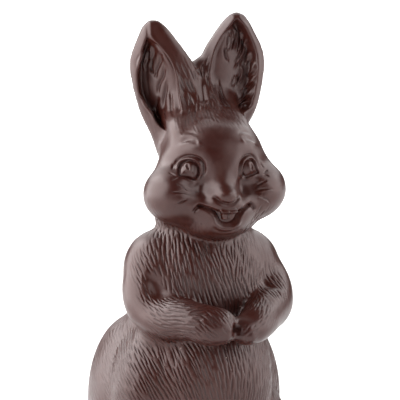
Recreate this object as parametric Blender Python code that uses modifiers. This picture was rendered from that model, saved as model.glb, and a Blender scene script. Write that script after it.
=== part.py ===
"""A moulded chocolate Easter bunny, sitting up with its paws together.

Run with: blender --background --python part.py
Metres, +Z up. The bunny faces -Y and stands on z = 0. Its own right side is "near", its left side is "far".
"""

import math

import bmesh
import bpy
import numpy as np
from mathutils import Matrix, Vector

NAME = "chocolate_bunny"

# The bunny's height in metres. All sizes below it are in units of 1/240 of that height.
HEIGHT = 0.240
UNIT = HEIGHT / 240

# The skin is made of voxels of this size, then thinned to this many triangles.
VOXEL = 1.1
TRIANGLES = 11400
SHARP_ANGLE = 50.0

# Rounds of smoothing, which set how wide the fillets are.
BODY_ROUNDS = 16
HEAD_ROUNDS = 26
BACK_ROUNDS = 24
EAR_SHARE = 0.5
HEAD_LEVEL = (136.0, 146.0)
EAR_LEVEL = (180.0, 190.0)
# Places with a wider fillet: centre, reach and rounds.
FILLETS = (
    ((0, -5, 195), (25, 14, 11), 36),
    ((-31, -4, 68), (18, 25, 34), 170),
    ((-28, -14, 112), (9, 11, 12), 40),
)

# The head leans and turns a little about the neck, in degrees.
HEAD_TILT = 2.0
HEAD_TURN = 5.0
NECK_LEVEL = (132.0, 150.0)
TILT_CENTRE = 160.0
HEAD_MIDDLE = 0.3
# The face turns back this much below the crown.
FACE_TURN = -5.0
CROWN_LEVEL = (180.0, 194.0)

CHOCOLATE = (0.055, 0.019, 0.012, 1.0)
ROUGHNESS = 0.38

# An ear from its root to its tip: height, place across, place from front to back, half width, half thickness.
EAR = (
    (172, 14.0, 6.0, 6.0, 7.0),
    (184, 14.4, 6.0, 9.8, 7.0),
    (196, 15.4, 6.0, 14.2, 7.0),
    (208, 16.0, 6.0, 16.6, 6.8),
    (216, 16.8, 6.0, 16.7, 6.4),
    (222, 18.2, 6.0, 14.4, 6.0),
    (229, 19.1, 6.0, 10.4, 5.4),
    (235, 20.0, 6.0, 6.6, 4.6),
    (240, 20.8, 6.0, 0.0, 0.0),
)
EAR_SIDES = 40
EAR_MIDDLE = -0.7
# What differs between the near ear, -1, and the far one, 1: turn, share of the width, and rise of the tip.
EAR_TURNS = {-1: -22.0, 1: 8.0}
EAR_WIDTHS = {-1: 0.93, 1: 1.0}
EAR_TIPS = {-1: -1.3, 1: 0.3}

# The dish in each ear, from its lower end to its tip: height, places of its outer and its inner edge.
DISHES = {
    -1: (
        (184.5, -17.5, -17.4),
        (188, -20.6, -14.6),
        (192.5, -23.4, -13.0),
        (198, -26.9, -12.9),
        (204, -28.9, -13.1),
        (210, -29.4, -13.7),
        (215, -29.1, -15.0),
        (220, -28.1, -17.4),
        (225, -26.6, -20.6),
        (229, -25.2, -23.4),
        (231, -24.5, -24.4),
    ),
    1: (
        (190.5, 16.5, 16.4),
        (194.5, 22.8, 10.2),
        (198, 24.4, 7.6),
        (203, 25.8, 5.8),
        (209, 26.8, 5.7),
        (215, 27.3, 6.6),
        (221, 27.0, 8.2),
        (227.5, 24.8, 11.5),
        (233, 22.2, 15.4),
        (237, 19.0, 18.9),
    ),
}
DISH_DEPTHS = {-1: 7.5, 1: 6.0}
DISH_SLOPE = 0.35
DISH_EDGE = 0.18
OUTER_WALL = 3.2
INNER_WALL = 1.3
RIM_HEIGHT = 0.8
# The forehead starts this far in front of an ear's middle, and the dish ends there.
FOREHEAD_AHEAD = (-16.0, -11.0)

# The face's own frame, seen from the front: across from its middle line, and height.
FACE_MIDDLE = -2.0
FACE_CENTRE = 160.0
FACE_TILT = -1.7

# The face's rises and hollows on one side, as centre, radii, height and turn in degrees.
SIDE_MOUNDS = (
    ((13.8, 168.5), (7.5, 6.5), -1.6, 0),
    ((15.0, 159.5), (5.6, 5.0), -2.4, 0),
    ((13.5, 178.8), (6.5, 2.8), 1.2, -8),
    ((5.4, 153.6), (4.6, 3.2), 0.8, 0),
)
# Those on the middle line: the nose and the chin.
MIDDLE_MOUNDS = (
    ((0.2, 157.4), (5.0, 3.7), 3.4),
    ((0, 139.5), (9, 4), 1.2),
)
# Its ridges and folds on one side, as path, width, height and tapered share: nose side, bridge, under the eye, brow.
SIDE_LINES = (
    ([(9.6, 167), (10.2, 160), (12.0, 155)], 2.4, -2.0, 0.4),
    ([(8.4, 185), (7.0, 177), (5.6, 170), (5.2, 162)], 2.2, 0.7, 0.4),
    ([(20.5, 163.8), (15, 161.3), (9.5, 162.0)], 1.3, -0.6, 0.4),
    ([(18.4, 180.6), (14.6, 183.0), (8.8, 182.6)], 1.0, 0.6, 0.3),
)

# The eye's outline runs outwards and upwards from the eye's centre.
EYE_CENTRE = (14.1, 169.8)
EYE_MIDDLE = -0.7
EYE_SIZE = 0.96
EYE_OUTLINE = (
    (5.2, -3.6), (4.3, -0.4), (2.6, 2.0), (0.2, 3.2), (-2.3, 2.6), (-4.0, 0.5), (-4.4, -2.4), (-3.4, -5.0),
    (-1.4, -5.9), (0.9, -5.2), (3.2, -4.4),
)
LID_GROOVE = 1.5
EYEBALL_RISE = 2.0

# The fold under the nose, the lips, the teeth, the dimples and the fold under the lower lip.
NOSE_FOLD = [(0, 152.8), (3.0, 153.6), (5.2, 155.3), (6.4, 157.4)]
NOSE_FOLD_DEPTH = 1.3
MOUTH_MIDDLE = 0.6
UPPER_LIP = [(0, 149.8), (3.6, 150.2), (7.2, 151.4), (10.6, 152.8), (13.6, 153.6)]
LOWER_LIP = [(0, 141.8), (2.6, 142.2), (4.9, 144.0), (6.5, 146.8), (8.6, 149.2), (11.4, 150.6), (14.4, 151.2)]
MOUTH_DEPTH = 2.4
TEETH_RISE = 1.5
TEETH_HALF_WIDTH = 4.0
TEETH_LOW = 145.4
LIP_FOLD = [(0, 139.6), (3.8, 140.2), (7.2, 142.6)]
LIP_FOLD_DEPTH = 0.6
DIMPLE = (14.6, 151.0)
DIMPLE_DEPTH = 1.3

# Folds on the arms and paws, in the figure's frame.
FINGERS = (
    [(-12.5, -44.5, 92), (-12.0, -44.5, 88), (-11.5, -41, 83)],
    [(-7.5, -44.5, 92), (-6.8, -44, 87.5), (-6.2, -41, 83)],
    [(5.0, -43.5, 91.5), (4.8, -43, 87.5), (4.6, -40, 83.5)],
    [(10.6, -43.5, 91), (10.8, -43, 87), (11.0, -40, 83)],
)
FINGER_DEPTH = 1.6
NEAR_ARMPIT = [(-33.0, -9, 121), (-30.5, -13, 114), (-27.5, -18, 106)]
NEAR_ARMPIT_DEPTH = 1.6
FAR_ARMPIT = [(23, -14, 119), (25, -19, 112), (31, -20, 107)]
FAR_ARMPIT_DEPTH = 1.2
PAW_GAP = (0.4, -41, 95)
PAW_GAP_DEPTH = 2.5
FAR_PALM = (8, -38, 99)
FAR_PALM_DEPTH = 1.6

# The folds between the three toes of a foot.
TOE_FOLDS = (20, 28)
TOE_DEPTH = 1.8


def clear_scene():
    for obj in list(bpy.data.objects):
        bpy.data.objects.remove(obj)


def new_object(name, mesh):
    obj = bpy.data.objects.new(name, mesh)
    bpy.context.scene.collection.objects.link(obj)
    return obj


def from_bmesh(name, bm):
    mesh = bpy.data.meshes.new(name)
    bm.to_mesh(mesh)
    bm.free()
    return new_object(name, mesh)


def smooth_step(low, high, value):
    t = np.clip((value - low) / (high - low), 0, 1)
    return t * t * (3 - 2 * t)


def smooth_curve(stations, steps):
    """A Catmull-Rom curve through the stations, with this many steps between each two."""
    stations = np.array(stations, dtype=float)
    padded = np.vstack([2 * stations[0] - stations[1], stations, 2 * stations[-1] - stations[-2]])
    t = np.linspace(0, 1, steps, endpoint=False)[:, None]
    pieces = []
    for a, b, c, d in zip(padded, padded[1:], padded[2:], padded[3:]):
        cubic = (3 * b - 3 * c + d - a) * t**3 + (2 * a - 5 * b + 4 * c - d) * t**2
        pieces.append((cubic + (c - a) * t) / 2 + b)
    return np.vstack([*pieces, stations[-1:]])


# Masses of the figure: each is a closed shape that overlaps its neighbours.


def ball(name, centre, radii, turn=(0, 0, 0)):
    """An ellipsoid, turned about X, Y and Z in degrees."""
    bm = bmesh.new()
    bmesh.ops.create_icosphere(bm, subdivisions=4, radius=1.0)
    turned = Matrix.Identity(4)
    for axis, angle in zip("XYZ", turn):
        turned = Matrix.Rotation(math.radians(angle), 4, axis) @ turned
    placed = Matrix.Translation(Vector(centre) * UNIT) @ turned
    bmesh.ops.transform(bm, matrix=placed @ Matrix.Diagonal((*[r * UNIT for r in radii], 1)), verts=bm.verts)
    return from_bmesh(name, bm)


def limb(name, stations):
    """A tapering limb through (x, y, z, radius) stations, with round ends."""
    curve = bpy.data.curves.new(name, "CURVE")
    curve.dimensions = "3D"
    curve.bevel_depth = UNIT
    curve.bevel_resolution = 6
    curve.resolution_u = 8
    curve.use_fill_caps = True
    spline = curve.splines.new("BEZIER")
    spline.bezier_points.add(len(stations) - 1)
    for point, (x, y, z, radius) in zip(spline.bezier_points, stations):
        point.co = (x * UNIT, y * UNIT, z * UNIT)
        point.radius = radius
        point.handle_left_type = point.handle_right_type = "AUTO"
    obj = new_object(name, curve)
    ends = [ball(name, s[:3], (s[3],) * 3) for s in (stations[0], stations[-1])]
    return [obj, *ends]


def ear_stations(steps=8):
    """EAR with smooth steps between its stations. The tip is round, so its half width goes as a square root."""
    stations = np.array(EAR, dtype=float)
    stations[:, 3:] **= 2
    stations = smooth_curve(stations, steps)
    stations[:, 3:] = np.sqrt(np.maximum(stations[:, 3:], 0.0))
    return stations


def ear_mass(side):
    """A long flat leaf, turned a little about its middle."""
    bm = bmesh.new()
    turn = math.radians(EAR_TURNS[side])
    corners = [math.tau * k / EAR_SIDES for k in range(EAR_SIDES)]
    rings = []
    for z, x, y, width, thickness in ear_stations():
        ring = []
        rise = EAR_TIPS[side] * smooth_step(205, 240, z)
        for angle in corners:
            across = EAR_WIDTHS[side] * width * math.cos(angle)
            front = -thickness * math.sin(angle)
            out = x + across * math.cos(turn) - front * math.sin(turn)
            back = y - across * math.sin(turn) + front
            ring.append(bm.verts.new(Vector((EAR_MIDDLE + side * out, back, z + rise)) * UNIT))
        rings.append(ring)
    for lower, upper in zip(rings, rings[1:]):
        for k in range(EAR_SIDES):
            after = (k + 1) % EAR_SIDES
            bm.faces.new((lower[k], lower[after], upper[after], upper[k]))
    bm.faces.new(rings[0])
    bm.faces.new(rings[-1])
    bmesh.ops.remove_doubles(bm, verts=bm.verts, dist=1e-6)
    bmesh.ops.recalc_face_normals(bm, faces=bm.faces)
    return from_bmesh("ear", bm)


def body_masses():
    return [
        ball("chest", (0, 3, 112), (34, 26, 35)),
        ball("belly", (0, -2, 66), (32, 30, 44)),
        ball("back", (0, 18, 84), (33, 29, 53), (9, 0, 0)),
        ball("seat", (0, 30, 36), (38, 34, 40)),
        ball("near_shoulder", (-20.4, 4, 118.3), (18.7, 18, 20.3)),
        ball("far_shoulder", (20.5, 3.5, 117.8), (18.2, 18, 19.4)),
        ball("near_lap", (-29.5, 2, 62), (16, 20.5, 28)),
        ball("far_breast", (15, -11, 105), (14, 10, 13)),
        ball("tail", (0, 64, 24), (13, 12, 13)),
    ]


def haunch_masses():
    made = []
    for side in (-1, 1):
        made += [
            ball("thigh", (side * 23.8, 30, 51.8), (23.6, 34, 42.8), (4, 0, 0)),
            ball("knee", (side * 27, 4, 34), (17, 24, 30), (-14, 0, 0)),
            *limb("foot", [
                (side * 27, 24, 8.5, 11),
                (side * 27, -4, 8.5, 11),
                (side * 25, -30, 8, 11.5),
                (side * 24, -38, 7.5, 10.5),
            ]),
        ]
    return made


def arm_masses():
    near = [
        (-20, 4, 120, 14),
        (-27.5, 1, 111, 13.6),
        (-27.5, -9, 98.5, 11.2),
        (-17.5, -27, 98.2, 9.4),
        (-9.5, -34.5, 96.0, 9.8),
        (-6.5, -35.8, 95.8, 9.2),
    ]
    far = [
        (20, 4, 120, 14),
        (27.5, 1, 113, 14),
        (29.5, -9, 104.5, 12.0),
        (20, -25, 98.2, 9.6),
        (11.5, -34, 94.8, 8.7),
        (7.5, -36, 93.8, 8.0),
    ]
    return [*limb("near_arm", near), *limb("far_arm", far)]


def head_masses():
    made = [
        ball("cranium", (HEAD_MIDDLE + 1.0, -7, 171), (24.8, 27, 23)),
        ball("muzzle", (HEAD_MIDDLE - 0.8, -22, 149), (17, 15, 12.5)),
        ball("snout", (HEAD_MIDDLE - 2.2, -27, 154), (9, 10.5, 7.5)),
        ball("bridge", (HEAD_MIDDLE - 2.2, -24, 163.5), (7.0, 11, 16), (-18, 0, 0)),
        ball("chin", (HEAD_MIDDLE, -17, 144.3), (19, 15, 9.7)),
        ball("nape", (-0.3, 2, 151), (25.6, 19, 25.4)),
        ball("web", (0, 9, 186), (16.5, 6, 32.3)),
        *limb("crown", [(0.5, 9, 214, 5), (0.5, 3, 202, 7), (0.5, -6, 190, 8), (0.5, -14, 183, 8)]),
    ]
    for side in (-1, 1):
        made += [
            *limb("ear_foot", [
                (side * 10.5, 9, 210, 5),
                (side * 11, 3.5, 200, 6.5),
                (side * 12, -4, 190, 7.5),
                (side * 13, -12, 182, 8),
            ]),
            ball("cheek", (HEAD_MIDDLE - 0.5 + side * 17.5, -14, 156.8), (18, 18, 15.2)),
            ball("temple", (HEAD_MIDDLE + 0.6 + side * 14, -9, 167), (14, 15, 13)),
            ear_mass(side),
        ]
    return made


def flatten(masses):
    for mass in masses:
        if isinstance(mass, list):
            yield from flatten(mass)
        else:
            yield mass


def fuse(masses, voxel):
    """Joins the overlapping masses into one closed skin."""
    graph = bpy.context.evaluated_depsgraph_get()
    bm = bmesh.new()
    for obj in masses:
        mesh = bpy.data.meshes.new_from_object(obj.evaluated_get(graph))
        mesh.transform(obj.matrix_world)
        bm.from_mesh(mesh)
        bpy.data.meshes.remove(mesh)
        bpy.data.objects.remove(obj)
    bmesh.ops.remove_doubles(bm, verts=bm.verts, dist=1e-6)
    whole = from_bmesh(NAME, bm)
    remesh = whole.modifiers.new("fuse", "REMESH")
    remesh.mode = "VOXEL"
    remesh.voxel_size = voxel * UNIT
    remesh.use_smooth_shade = True
    bpy.context.view_layer.update()
    graph = bpy.context.evaluated_depsgraph_get()
    skin = bpy.data.meshes.new_from_object(whole.evaluated_get(graph))
    whole.modifiers.clear()
    whole.data = skin
    return whole


class Skin:
    """The figure's skin as arrays, so that it can be smoothed and pressed like modelling clay."""

    def __init__(self, obj):
        self.mesh = obj.data
        self.points = np.empty((len(self.mesh.vertices), 3))
        self.mesh.vertices.foreach_get("co", self.points.ravel())
        self.points /= UNIT
        self.edges = np.empty((len(self.mesh.edges), 2), dtype=np.int64)
        self.mesh.edges.foreach_get("vertices", self.edges.ravel())
        self.valence = np.bincount(self.edges.ravel(), minlength=len(self.points))[:, None]

    def neighbours_mean(self, values):
        a, b = self.edges.T
        total = np.empty_like(values)
        for axis in range(values.shape[1]):
            total[:, axis] = np.bincount(a, values[b, axis], len(values))
            total[:, axis] += np.bincount(b, values[a, axis], len(values))
        return total / self.valence

    def relax(self, rounds, share=0.5):
        """Rounds off creases: each point moves a share of the way to its neighbours' mean."""
        for _ in range(rounds):
            self.points += (self.neighbours_mean(self.points) - self.points) * share

    def normals(self, rounds=3):
        """The skin's normals, averaged over their neighbours this many times."""
        self.store()
        normals = np.empty((len(self.points), 3), dtype=np.float32)
        self.mesh.vertices.foreach_get("normal", normals.ravel())
        normals = normals.astype(float)
        for _ in range(rounds):
            normals = self.neighbours_mean(normals)
        return normals / np.linalg.norm(normals, axis=1)[:, None]

    def store(self):
        self.mesh.vertices.foreach_set("co", (self.points * UNIT).astype(np.float32).ravel())
        self.mesh.update()


def soften(skin):
    """Fillets between the masses: wide on the head, narrower on the body, least on the ears."""
    ears = smooth_step(*EAR_LEVEL, skin.points[:, 2:])
    head = smooth_step(*HEAD_LEVEL, skin.points[:, 2:]) * (1 - ears)
    back = smooth_step(8, 16, skin.points[:, 1:2]) * (1 - ears)
    skin.relax(BODY_ROUNDS, 0.5 * (1 - ears + EAR_SHARE * ears))
    skin.relax(HEAD_ROUNDS, 0.5 * head)
    skin.relax(BACK_ROUNDS, 0.5 * back)
    for centre, radii, rounds in FILLETS:
        fillet(skin, centre, radii, rounds)


def fillet(skin, centre, radii, rounds):
    """Rounds off one place more than the rest."""
    away = np.linalg.norm((skin.points - centre) / radii, axis=1)
    skin.relax(rounds, 0.5 * smooth_step(1.0, 0.6, away)[:, None])


def lean_head(skin):
    """Turns the head and ears about the neck, and leans them to one side."""
    x, y, z = skin.points.T.copy()
    share = smooth_step(*NECK_LEVEL, z)
    turn = -np.radians(HEAD_TURN + FACE_TURN * (1 - smooth_step(*CROWN_LEVEL, z))) * share
    x, y = x * np.cos(turn) - y * np.sin(turn), x * np.sin(turn) + y * np.cos(turn)
    tilt = math.radians(HEAD_TILT) * share
    rise = z - TILT_CENTRE
    skin.points[:, 0] = x * np.cos(tilt) - rise * np.sin(tilt)
    skin.points[:, 1] = y
    skin.points[:, 2] = TILT_CENTRE + x * np.sin(tilt) + rise * np.cos(tilt)


# Features pressed into the skin or raised on it.


def path_distance(points, path):
    """Each point's distance to a polyline, and how far along it the nearest place lies, from 0 to 1."""
    best = np.full(len(points), np.inf)
    along = np.zeros(len(points))
    spans = np.linalg.norm(np.diff(path, axis=0), axis=1)
    start = 0.0
    for a, b, span in zip(path, path[1:], spans):
        t = np.clip((points - a) @ (b - a) / max(span**2, 1e-9), 0, 1)
        distance = np.linalg.norm(points - a - t[:, None] * (b - a), axis=1)
        nearer = distance < best
        best[nearer] = distance[nearer]
        along[nearer] = (start + t[nearer] * span) / spans.sum()
        start += span
    return best, along


def inside_outline(points, outline):
    """Which points lie inside a closed flat outline."""
    x, z = points.T
    inside = np.zeros(len(points), dtype=bool)
    for (ax, az), (bx, bz) in zip(outline, np.roll(outline, -1, axis=0)):
        crosses = (az > z) != (bz > z)
        rise = np.where(abs(bz - az) < 1e-9, 1e-9, bz - az)
        inside ^= crosses & (x < (bx - ax) * (z - az) / rise + ax)
    return inside


class Brush:
    """Presses and raises features on the part of the skin that a region picks, along its normals.

    Places are in the face's own flat frame, seen from the front, where a path has two numbers a point,
    and in the figure's frame where it has three.
    """

    def __init__(self, skin, region):
        self.skin = skin
        self.chosen = np.nonzero(region > 0.01)[0]
        self.share = region[self.chosen]
        self.normals = skin.normals()[self.chosen]
        self.solid = skin.points[self.chosen].copy()
        self.flat = face_frame(self.solid)
        self.lift = np.zeros(len(self.chosen))

    def places(self, path):
        return self.flat if len(path[0]) == 2 else self.solid

    def line(self, path, width, height, taper=0.25, smooth=6):
        """A ridge of this height along a path, or a groove where the height is negative."""
        path = smooth_curve(path, smooth)
        distance, along = path_distance(self.places(path), path)
        ends = smooth_step(0, taper, along) * smooth_step(0, taper, 1 - along) if taper else 1.0
        self.lift += height * np.exp(-((distance / max(width, self.finest)) ** 2)) * ends

    def mound(self, centre, radii, height, turn=0.0):
        """A soft round rise, or a hollow where the height is negative."""
        offset = self.places([centre]) - np.array(centre, dtype=float)
        if turn:
            angle = math.radians(turn)
            u, v = offset.T.copy()
            across, up = u * math.cos(angle) + v * math.sin(angle), v * math.cos(angle) - u * math.sin(angle)
            offset = np.column_stack([across, up])
        self.lift += height * np.exp(-((offset / radii) ** 2).sum(axis=1))

    def depth_inside(self, outline):
        """Each point's distance inside a closed outline, negative outside it."""
        loop = smooth_curve([*outline, outline[0]], 6)
        distance, _ = path_distance(self.flat, loop)
        return np.where(inside_outline(self.flat, loop[:-1]), distance, -distance)

    def finish(self):
        self.skin.points[self.chosen] += self.normals * (self.lift * self.share)[:, None]


Brush.finest = 0.9 * VOXEL


def face_frame(points):
    """Places on the face seen from the front: across from its middle line, and height."""
    x, z = points[:, 0] - FACE_MIDDLE, points[:, 2] - FACE_CENTRE
    tilt = math.radians(FACE_TILT)
    across, up = x * math.cos(tilt) + z * math.sin(tilt), z * math.cos(tilt) - x * math.sin(tilt)
    return np.column_stack([across, FACE_CENTRE + up])


def mirrored(path, side):
    return [(side * point[0], *point[1:]) for point in path]


def both_sides(half):
    """A path that starts on the middle line, carried on to the other side."""
    return mirrored(half[:0:-1], -1) + list(half)


def hollow_ears(skin):
    """A dish in the front of each ear: a steep outer wall, a deep channel and a slope up to its inner edge."""
    normals = skin.normals()
    x, y, z = skin.points.T.copy()
    stations = ear_stations()
    centre_x, centre_y = [np.interp(z, stations[:, 0], stations[:, k]) for k in (1, 2)]
    for side, dish in DISHES.items():
        turn = math.radians(EAR_TURNS[side])
        out = side * (x - EAR_MIDDLE)
        behind = (y - centre_y) * math.cos(turn) + (out - centre_x) * math.sin(turn)
        front = smooth_step(1, -2, behind) * smooth_step(*FOREHEAD_AHEAD, behind)
        front *= smooth_step(-0.1, 0.3, -normals[:, 1]) * (out > 0)
        edges = smooth_curve(dish, 8)
        outer, inner = [np.interp(z, edges[:, 0], edges[:, k]) for k in (1, 2)]
        from_outer, from_inner = side * (outer - x), side * (x - inner)
        share = np.clip(from_outer / np.maximum(from_outer + from_inner, 0.5), 0, 1)
        slope = 1 - (1 - DISH_EDGE) * np.clip((share - DISH_SLOPE) / (1 - DISH_SLOPE), 0, 1)
        walls = smooth_step(-0.4, OUTER_WALL, from_outer) * smooth_step(-0.4, INNER_WALL, from_inner)
        inside = np.minimum(from_outer, from_inner)
        rim = RIM_HEIGHT * np.exp(-(((inside + 1.0) / 1.2) ** 2)) * smooth_step(*EAR_LEVEL, z)
        skin.points[:, 1] += (DISH_DEPTHS[side] * slope * walls - rim) * front


def shape_face(skin):
    """Brow, bridge, cheek, nose and chin."""
    brush = Brush(skin, face_region(skin))
    for side in (-1, 1):
        for centre, radii, height, turn in SIDE_MOUNDS:
            brush.mound((side * centre[0], centre[1]), radii, height, side * turn)
        for path, width, height, taper in SIDE_LINES:
            brush.line(mirrored(path, side), width, height, taper)
    for centre, radii, height in MIDDLE_MOUNDS:
        brush.mound(centre, radii, height)
    brush.finish()


def shape_eyes(skin):
    """Each eye: a domed eyeball in the groove between its lids."""
    brush = Brush(skin, face_region(skin))
    for side in (-1, 1):
        inside = brush.depth_inside([place_on_eye(u, v, side) for u, v in EYE_OUTLINE])
        brush.lift -= LID_GROOVE * np.exp(-(((inside - 0.8) / 1.1) ** 2))
        brush.lift += EYEBALL_RISE * smooth_step(1.0, 4.6, inside)
    brush.finish()


def mouth_outline():
    """Along the upper lip from the bunny's left corner to its right one, then back along the lower lip."""
    upper = mirrored(both_sides(UPPER_LIP), -1)
    return [(MOUTH_MIDDLE + u, v) for u, v in upper + both_sides(LOWER_LIP)]


def shape_nose_and_mouth(skin):
    """The fold under the nose, and the smiling mouth with its two front teeth."""
    brush = Brush(skin, face_region(skin))
    brush.line(both_sides(NOSE_FOLD), 1.0, -NOSE_FOLD_DEPTH, 0.12)
    mouth = brush.depth_inside(mouth_outline())
    brush.lift -= MOUTH_DEPTH * smooth_step(-1.2, 1.4, mouth)
    u, v = brush.flat.T
    teeth = smooth_step(0.8, -0.8, np.abs(u - MOUTH_MIDDLE) - TEETH_HALF_WIDTH) * smooth_step(-0.8, 0.8, v - TEETH_LOW)
    brush.lift += TEETH_RISE * teeth * smooth_step(-0.2, 1.0, mouth)
    brush.line(both_sides(LIP_FOLD), 1.0, -LIP_FOLD_DEPTH, 0.2)
    for side in (-1, 1):
        brush.mound((side * DIMPLE[0], DIMPLE[1]), (1.9, 2.1), -DIMPLE_DEPTH)
    brush.finish()


def face_region(skin):
    """The front of the head."""
    normals = skin.normals()
    _, y, z = skin.points.T
    front = smooth_step(0.0, 0.3, -normals[:, 1]) * smooth_step(-6, -12, y)
    return front * smooth_step(134, 140, z) * smooth_step(194, 188, z)


def place_on_eye(u, v, side):
    """A place on the eye's outline: u runs outwards from the eye's centre and v upwards."""
    return EYE_MIDDLE + side * (EYE_CENTRE[0] + EYE_SIZE * u), EYE_CENTRE[1] + EYE_SIZE * v


def shape_paws(skin):
    """The folds between the fingers, the hollow above the far paw and the crease inside each arm."""
    _, y, z = skin.points.T
    front = smooth_step(-4, -9, y) * smooth_step(78, 82, z) * smooth_step(130, 124, z)
    brush = Brush(skin, front)
    for finger in FINGERS:
        brush.line(finger, 1.1, -FINGER_DEPTH, 0.3)
    brush.line(NEAR_ARMPIT, 4.2, -NEAR_ARMPIT_DEPTH, 0.3)
    brush.line(FAR_ARMPIT, 2.0, -FAR_ARMPIT_DEPTH, 0.3)
    brush.mound(PAW_GAP, (2.2, 4.0, 3.0), -PAW_GAP_DEPTH)
    brush.mound(FAR_PALM, (5.0, 5.0, 5.0), -FAR_PALM_DEPTH)
    brush.finish()


def shape_feet(skin):
    """Two folds between the three toes of each foot."""
    _, y, z = skin.points.T
    brush = Brush(skin, smooth_step(-26, -32, y) * smooth_step(30, 24, z))
    for side in (-1, 1):
        for x in TOE_FOLDS:
            fold = [(side * x, -36, 19), (side * x, -44, 15.5), (side * x, -49, 9)]
            brush.line(fold, 1.3, -TOE_DEPTH, 0.3)
    brush.finish()


def thinned(whole):
    """The same form in fewer, larger facets."""
    decimate = whole.modifiers.new("thin", "DECIMATE")
    decimate.ratio = TRIANGLES / (2 * len(whole.data.polygons))
    bpy.context.view_layer.update()
    graph = bpy.context.evaluated_depsgraph_get()
    mesh = bpy.data.meshes.new_from_object(whole.evaluated_get(graph))
    bpy.data.objects.remove(whole)
    return new_object(NAME, mesh)


def flatten_base(whole):
    """Cuts the figure level at z = 0, so that it stands flat, and closes the cut."""
    bm = bmesh.new()
    bm.from_mesh(whole.data)
    everything = [*bm.verts, *bm.edges, *bm.faces]
    cut = bmesh.ops.bisect_plane(bm, geom=everything, plane_co=(0, 0, 0), plane_no=(0, 0, 1), clear_inner=True)
    rim = [item for item in cut["geom_cut"] if isinstance(item, bmesh.types.BMEdge)]
    bmesh.ops.dissolve_degenerate(bm, edges=rim, dist=1e-5)
    rim = [edge for edge in bm.edges if edge.is_boundary]
    bmesh.ops.holes_fill(bm, edges=rim, sides=0)
    bmesh.ops.triangulate(bm, faces=bm.faces)
    bm.to_mesh(whole.data)
    bm.free()


def settle(whole):
    """Brings the figure to its exact height, with the middle of its box above the origin."""
    points = np.empty((len(whole.data.vertices), 3), dtype=np.float32)
    whole.data.vertices.foreach_get("co", points.ravel())
    low, high = points.min(axis=0), points.max(axis=0)
    middle = (low + high) / 2
    points -= (middle[0], middle[1], low[2])
    points *= HEIGHT / (high[2] - low[2])
    whole.data.vertices.foreach_set("co", points.ravel())
    whole.data.update()


def chocolate():
    """Dark moulded chocolate with a satin surface."""
    material = bpy.data.materials.new("dark_chocolate")
    material.use_nodes = True
    shader = material.node_tree.nodes["Principled BSDF"]
    shader.inputs["Base Color"].default_value = CHOCOLATE
    shader.inputs["Roughness"].default_value = ROUGHNESS
    shader.inputs["Metallic"].default_value = 0.0
    return material


def into_collection(whole):
    collection = bpy.data.collections.new(NAME)
    bpy.context.scene.collection.children.link(collection)
    bpy.context.scene.collection.objects.unlink(whole)
    collection.objects.link(whole)


def sculpt(skin):
    soften(skin)
    hollow_ears(skin)
    shape_face(skin)
    shape_eyes(skin)
    shape_nose_and_mouth(skin)
    shape_paws(skin)
    shape_feet(skin)
    lean_head(skin)
    skin.store()


def main():
    clear_scene()
    masses = list(flatten([body_masses(), haunch_masses(), arm_masses(), head_masses()]))
    whole = fuse(masses, VOXEL)
    sculpt(Skin(whole))
    whole = thinned(whole)
    flatten_base(whole)
    settle(whole)
    whole.data.materials.append(chocolate())
    whole.data.shade_smooth()
    whole.data.set_sharp_from_angle(angle=math.radians(SHARP_ANGLE))
    into_collection(whole)


if __name__ == "__main__":
    main()
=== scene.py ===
"""The looks of a moulded chocolate Easter bunny: its fine skin with the face, the ears and the incised fur.

Metres, +Z up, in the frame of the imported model. The bunny faces -Y. Its own right side is "near".
Inside the form, sizes are in units of 1/240 of the bunny's height.
"""

import math

import bmesh
import bpy
import numpy as np
from mathutils import Matrix, Vector
from mathutils.bvhtree import BVHTree


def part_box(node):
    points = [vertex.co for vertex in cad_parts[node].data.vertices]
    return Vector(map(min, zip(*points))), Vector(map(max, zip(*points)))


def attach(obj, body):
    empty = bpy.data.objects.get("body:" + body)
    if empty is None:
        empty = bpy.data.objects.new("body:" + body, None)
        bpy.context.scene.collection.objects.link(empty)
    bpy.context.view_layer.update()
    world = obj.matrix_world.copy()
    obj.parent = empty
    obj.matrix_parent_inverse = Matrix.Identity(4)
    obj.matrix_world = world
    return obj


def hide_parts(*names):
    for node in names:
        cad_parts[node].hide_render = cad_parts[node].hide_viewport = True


bl_info = {
    "name": "Moulded Chocolate Bunny",
    "version": (1, 0, 0),
    "blender": (4, 5, 0),
    "location": "View3D > Sidebar > Chocolate Bunny",
    "description": "Gives the bunny its moulded skin with incised fur, its satin chocolate and its stage",
    "category": "Object",
}

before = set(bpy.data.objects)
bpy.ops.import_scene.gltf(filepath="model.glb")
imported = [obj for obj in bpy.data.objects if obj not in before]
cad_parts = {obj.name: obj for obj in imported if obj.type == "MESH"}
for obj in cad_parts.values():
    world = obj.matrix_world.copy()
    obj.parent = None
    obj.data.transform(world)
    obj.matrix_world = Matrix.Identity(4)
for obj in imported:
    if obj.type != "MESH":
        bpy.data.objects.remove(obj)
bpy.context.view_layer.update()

NODE = "chocolate_bunny"
LOW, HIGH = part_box(NODE)
UNIT = (HIGH.z - LOW.z) / 240

# The form's own values, as in the solid.
VOXEL = 1.1
BODY_ROUNDS = 16
HEAD_ROUNDS = 26
BACK_ROUNDS = 24
EAR_SHARE = 0.5
HEAD_LEVEL = (136.0, 146.0)
EAR_LEVEL = (180.0, 190.0)
HEAD_TILT = 2.0
HEAD_TURN = 5.0
NECK_LEVEL = (132.0, 150.0)
TILT_CENTRE = 160.0
HEAD_MIDDLE = 0.3
FACE_TURN = -5.0
CROWN_LEVEL = (180.0, 194.0)
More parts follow.
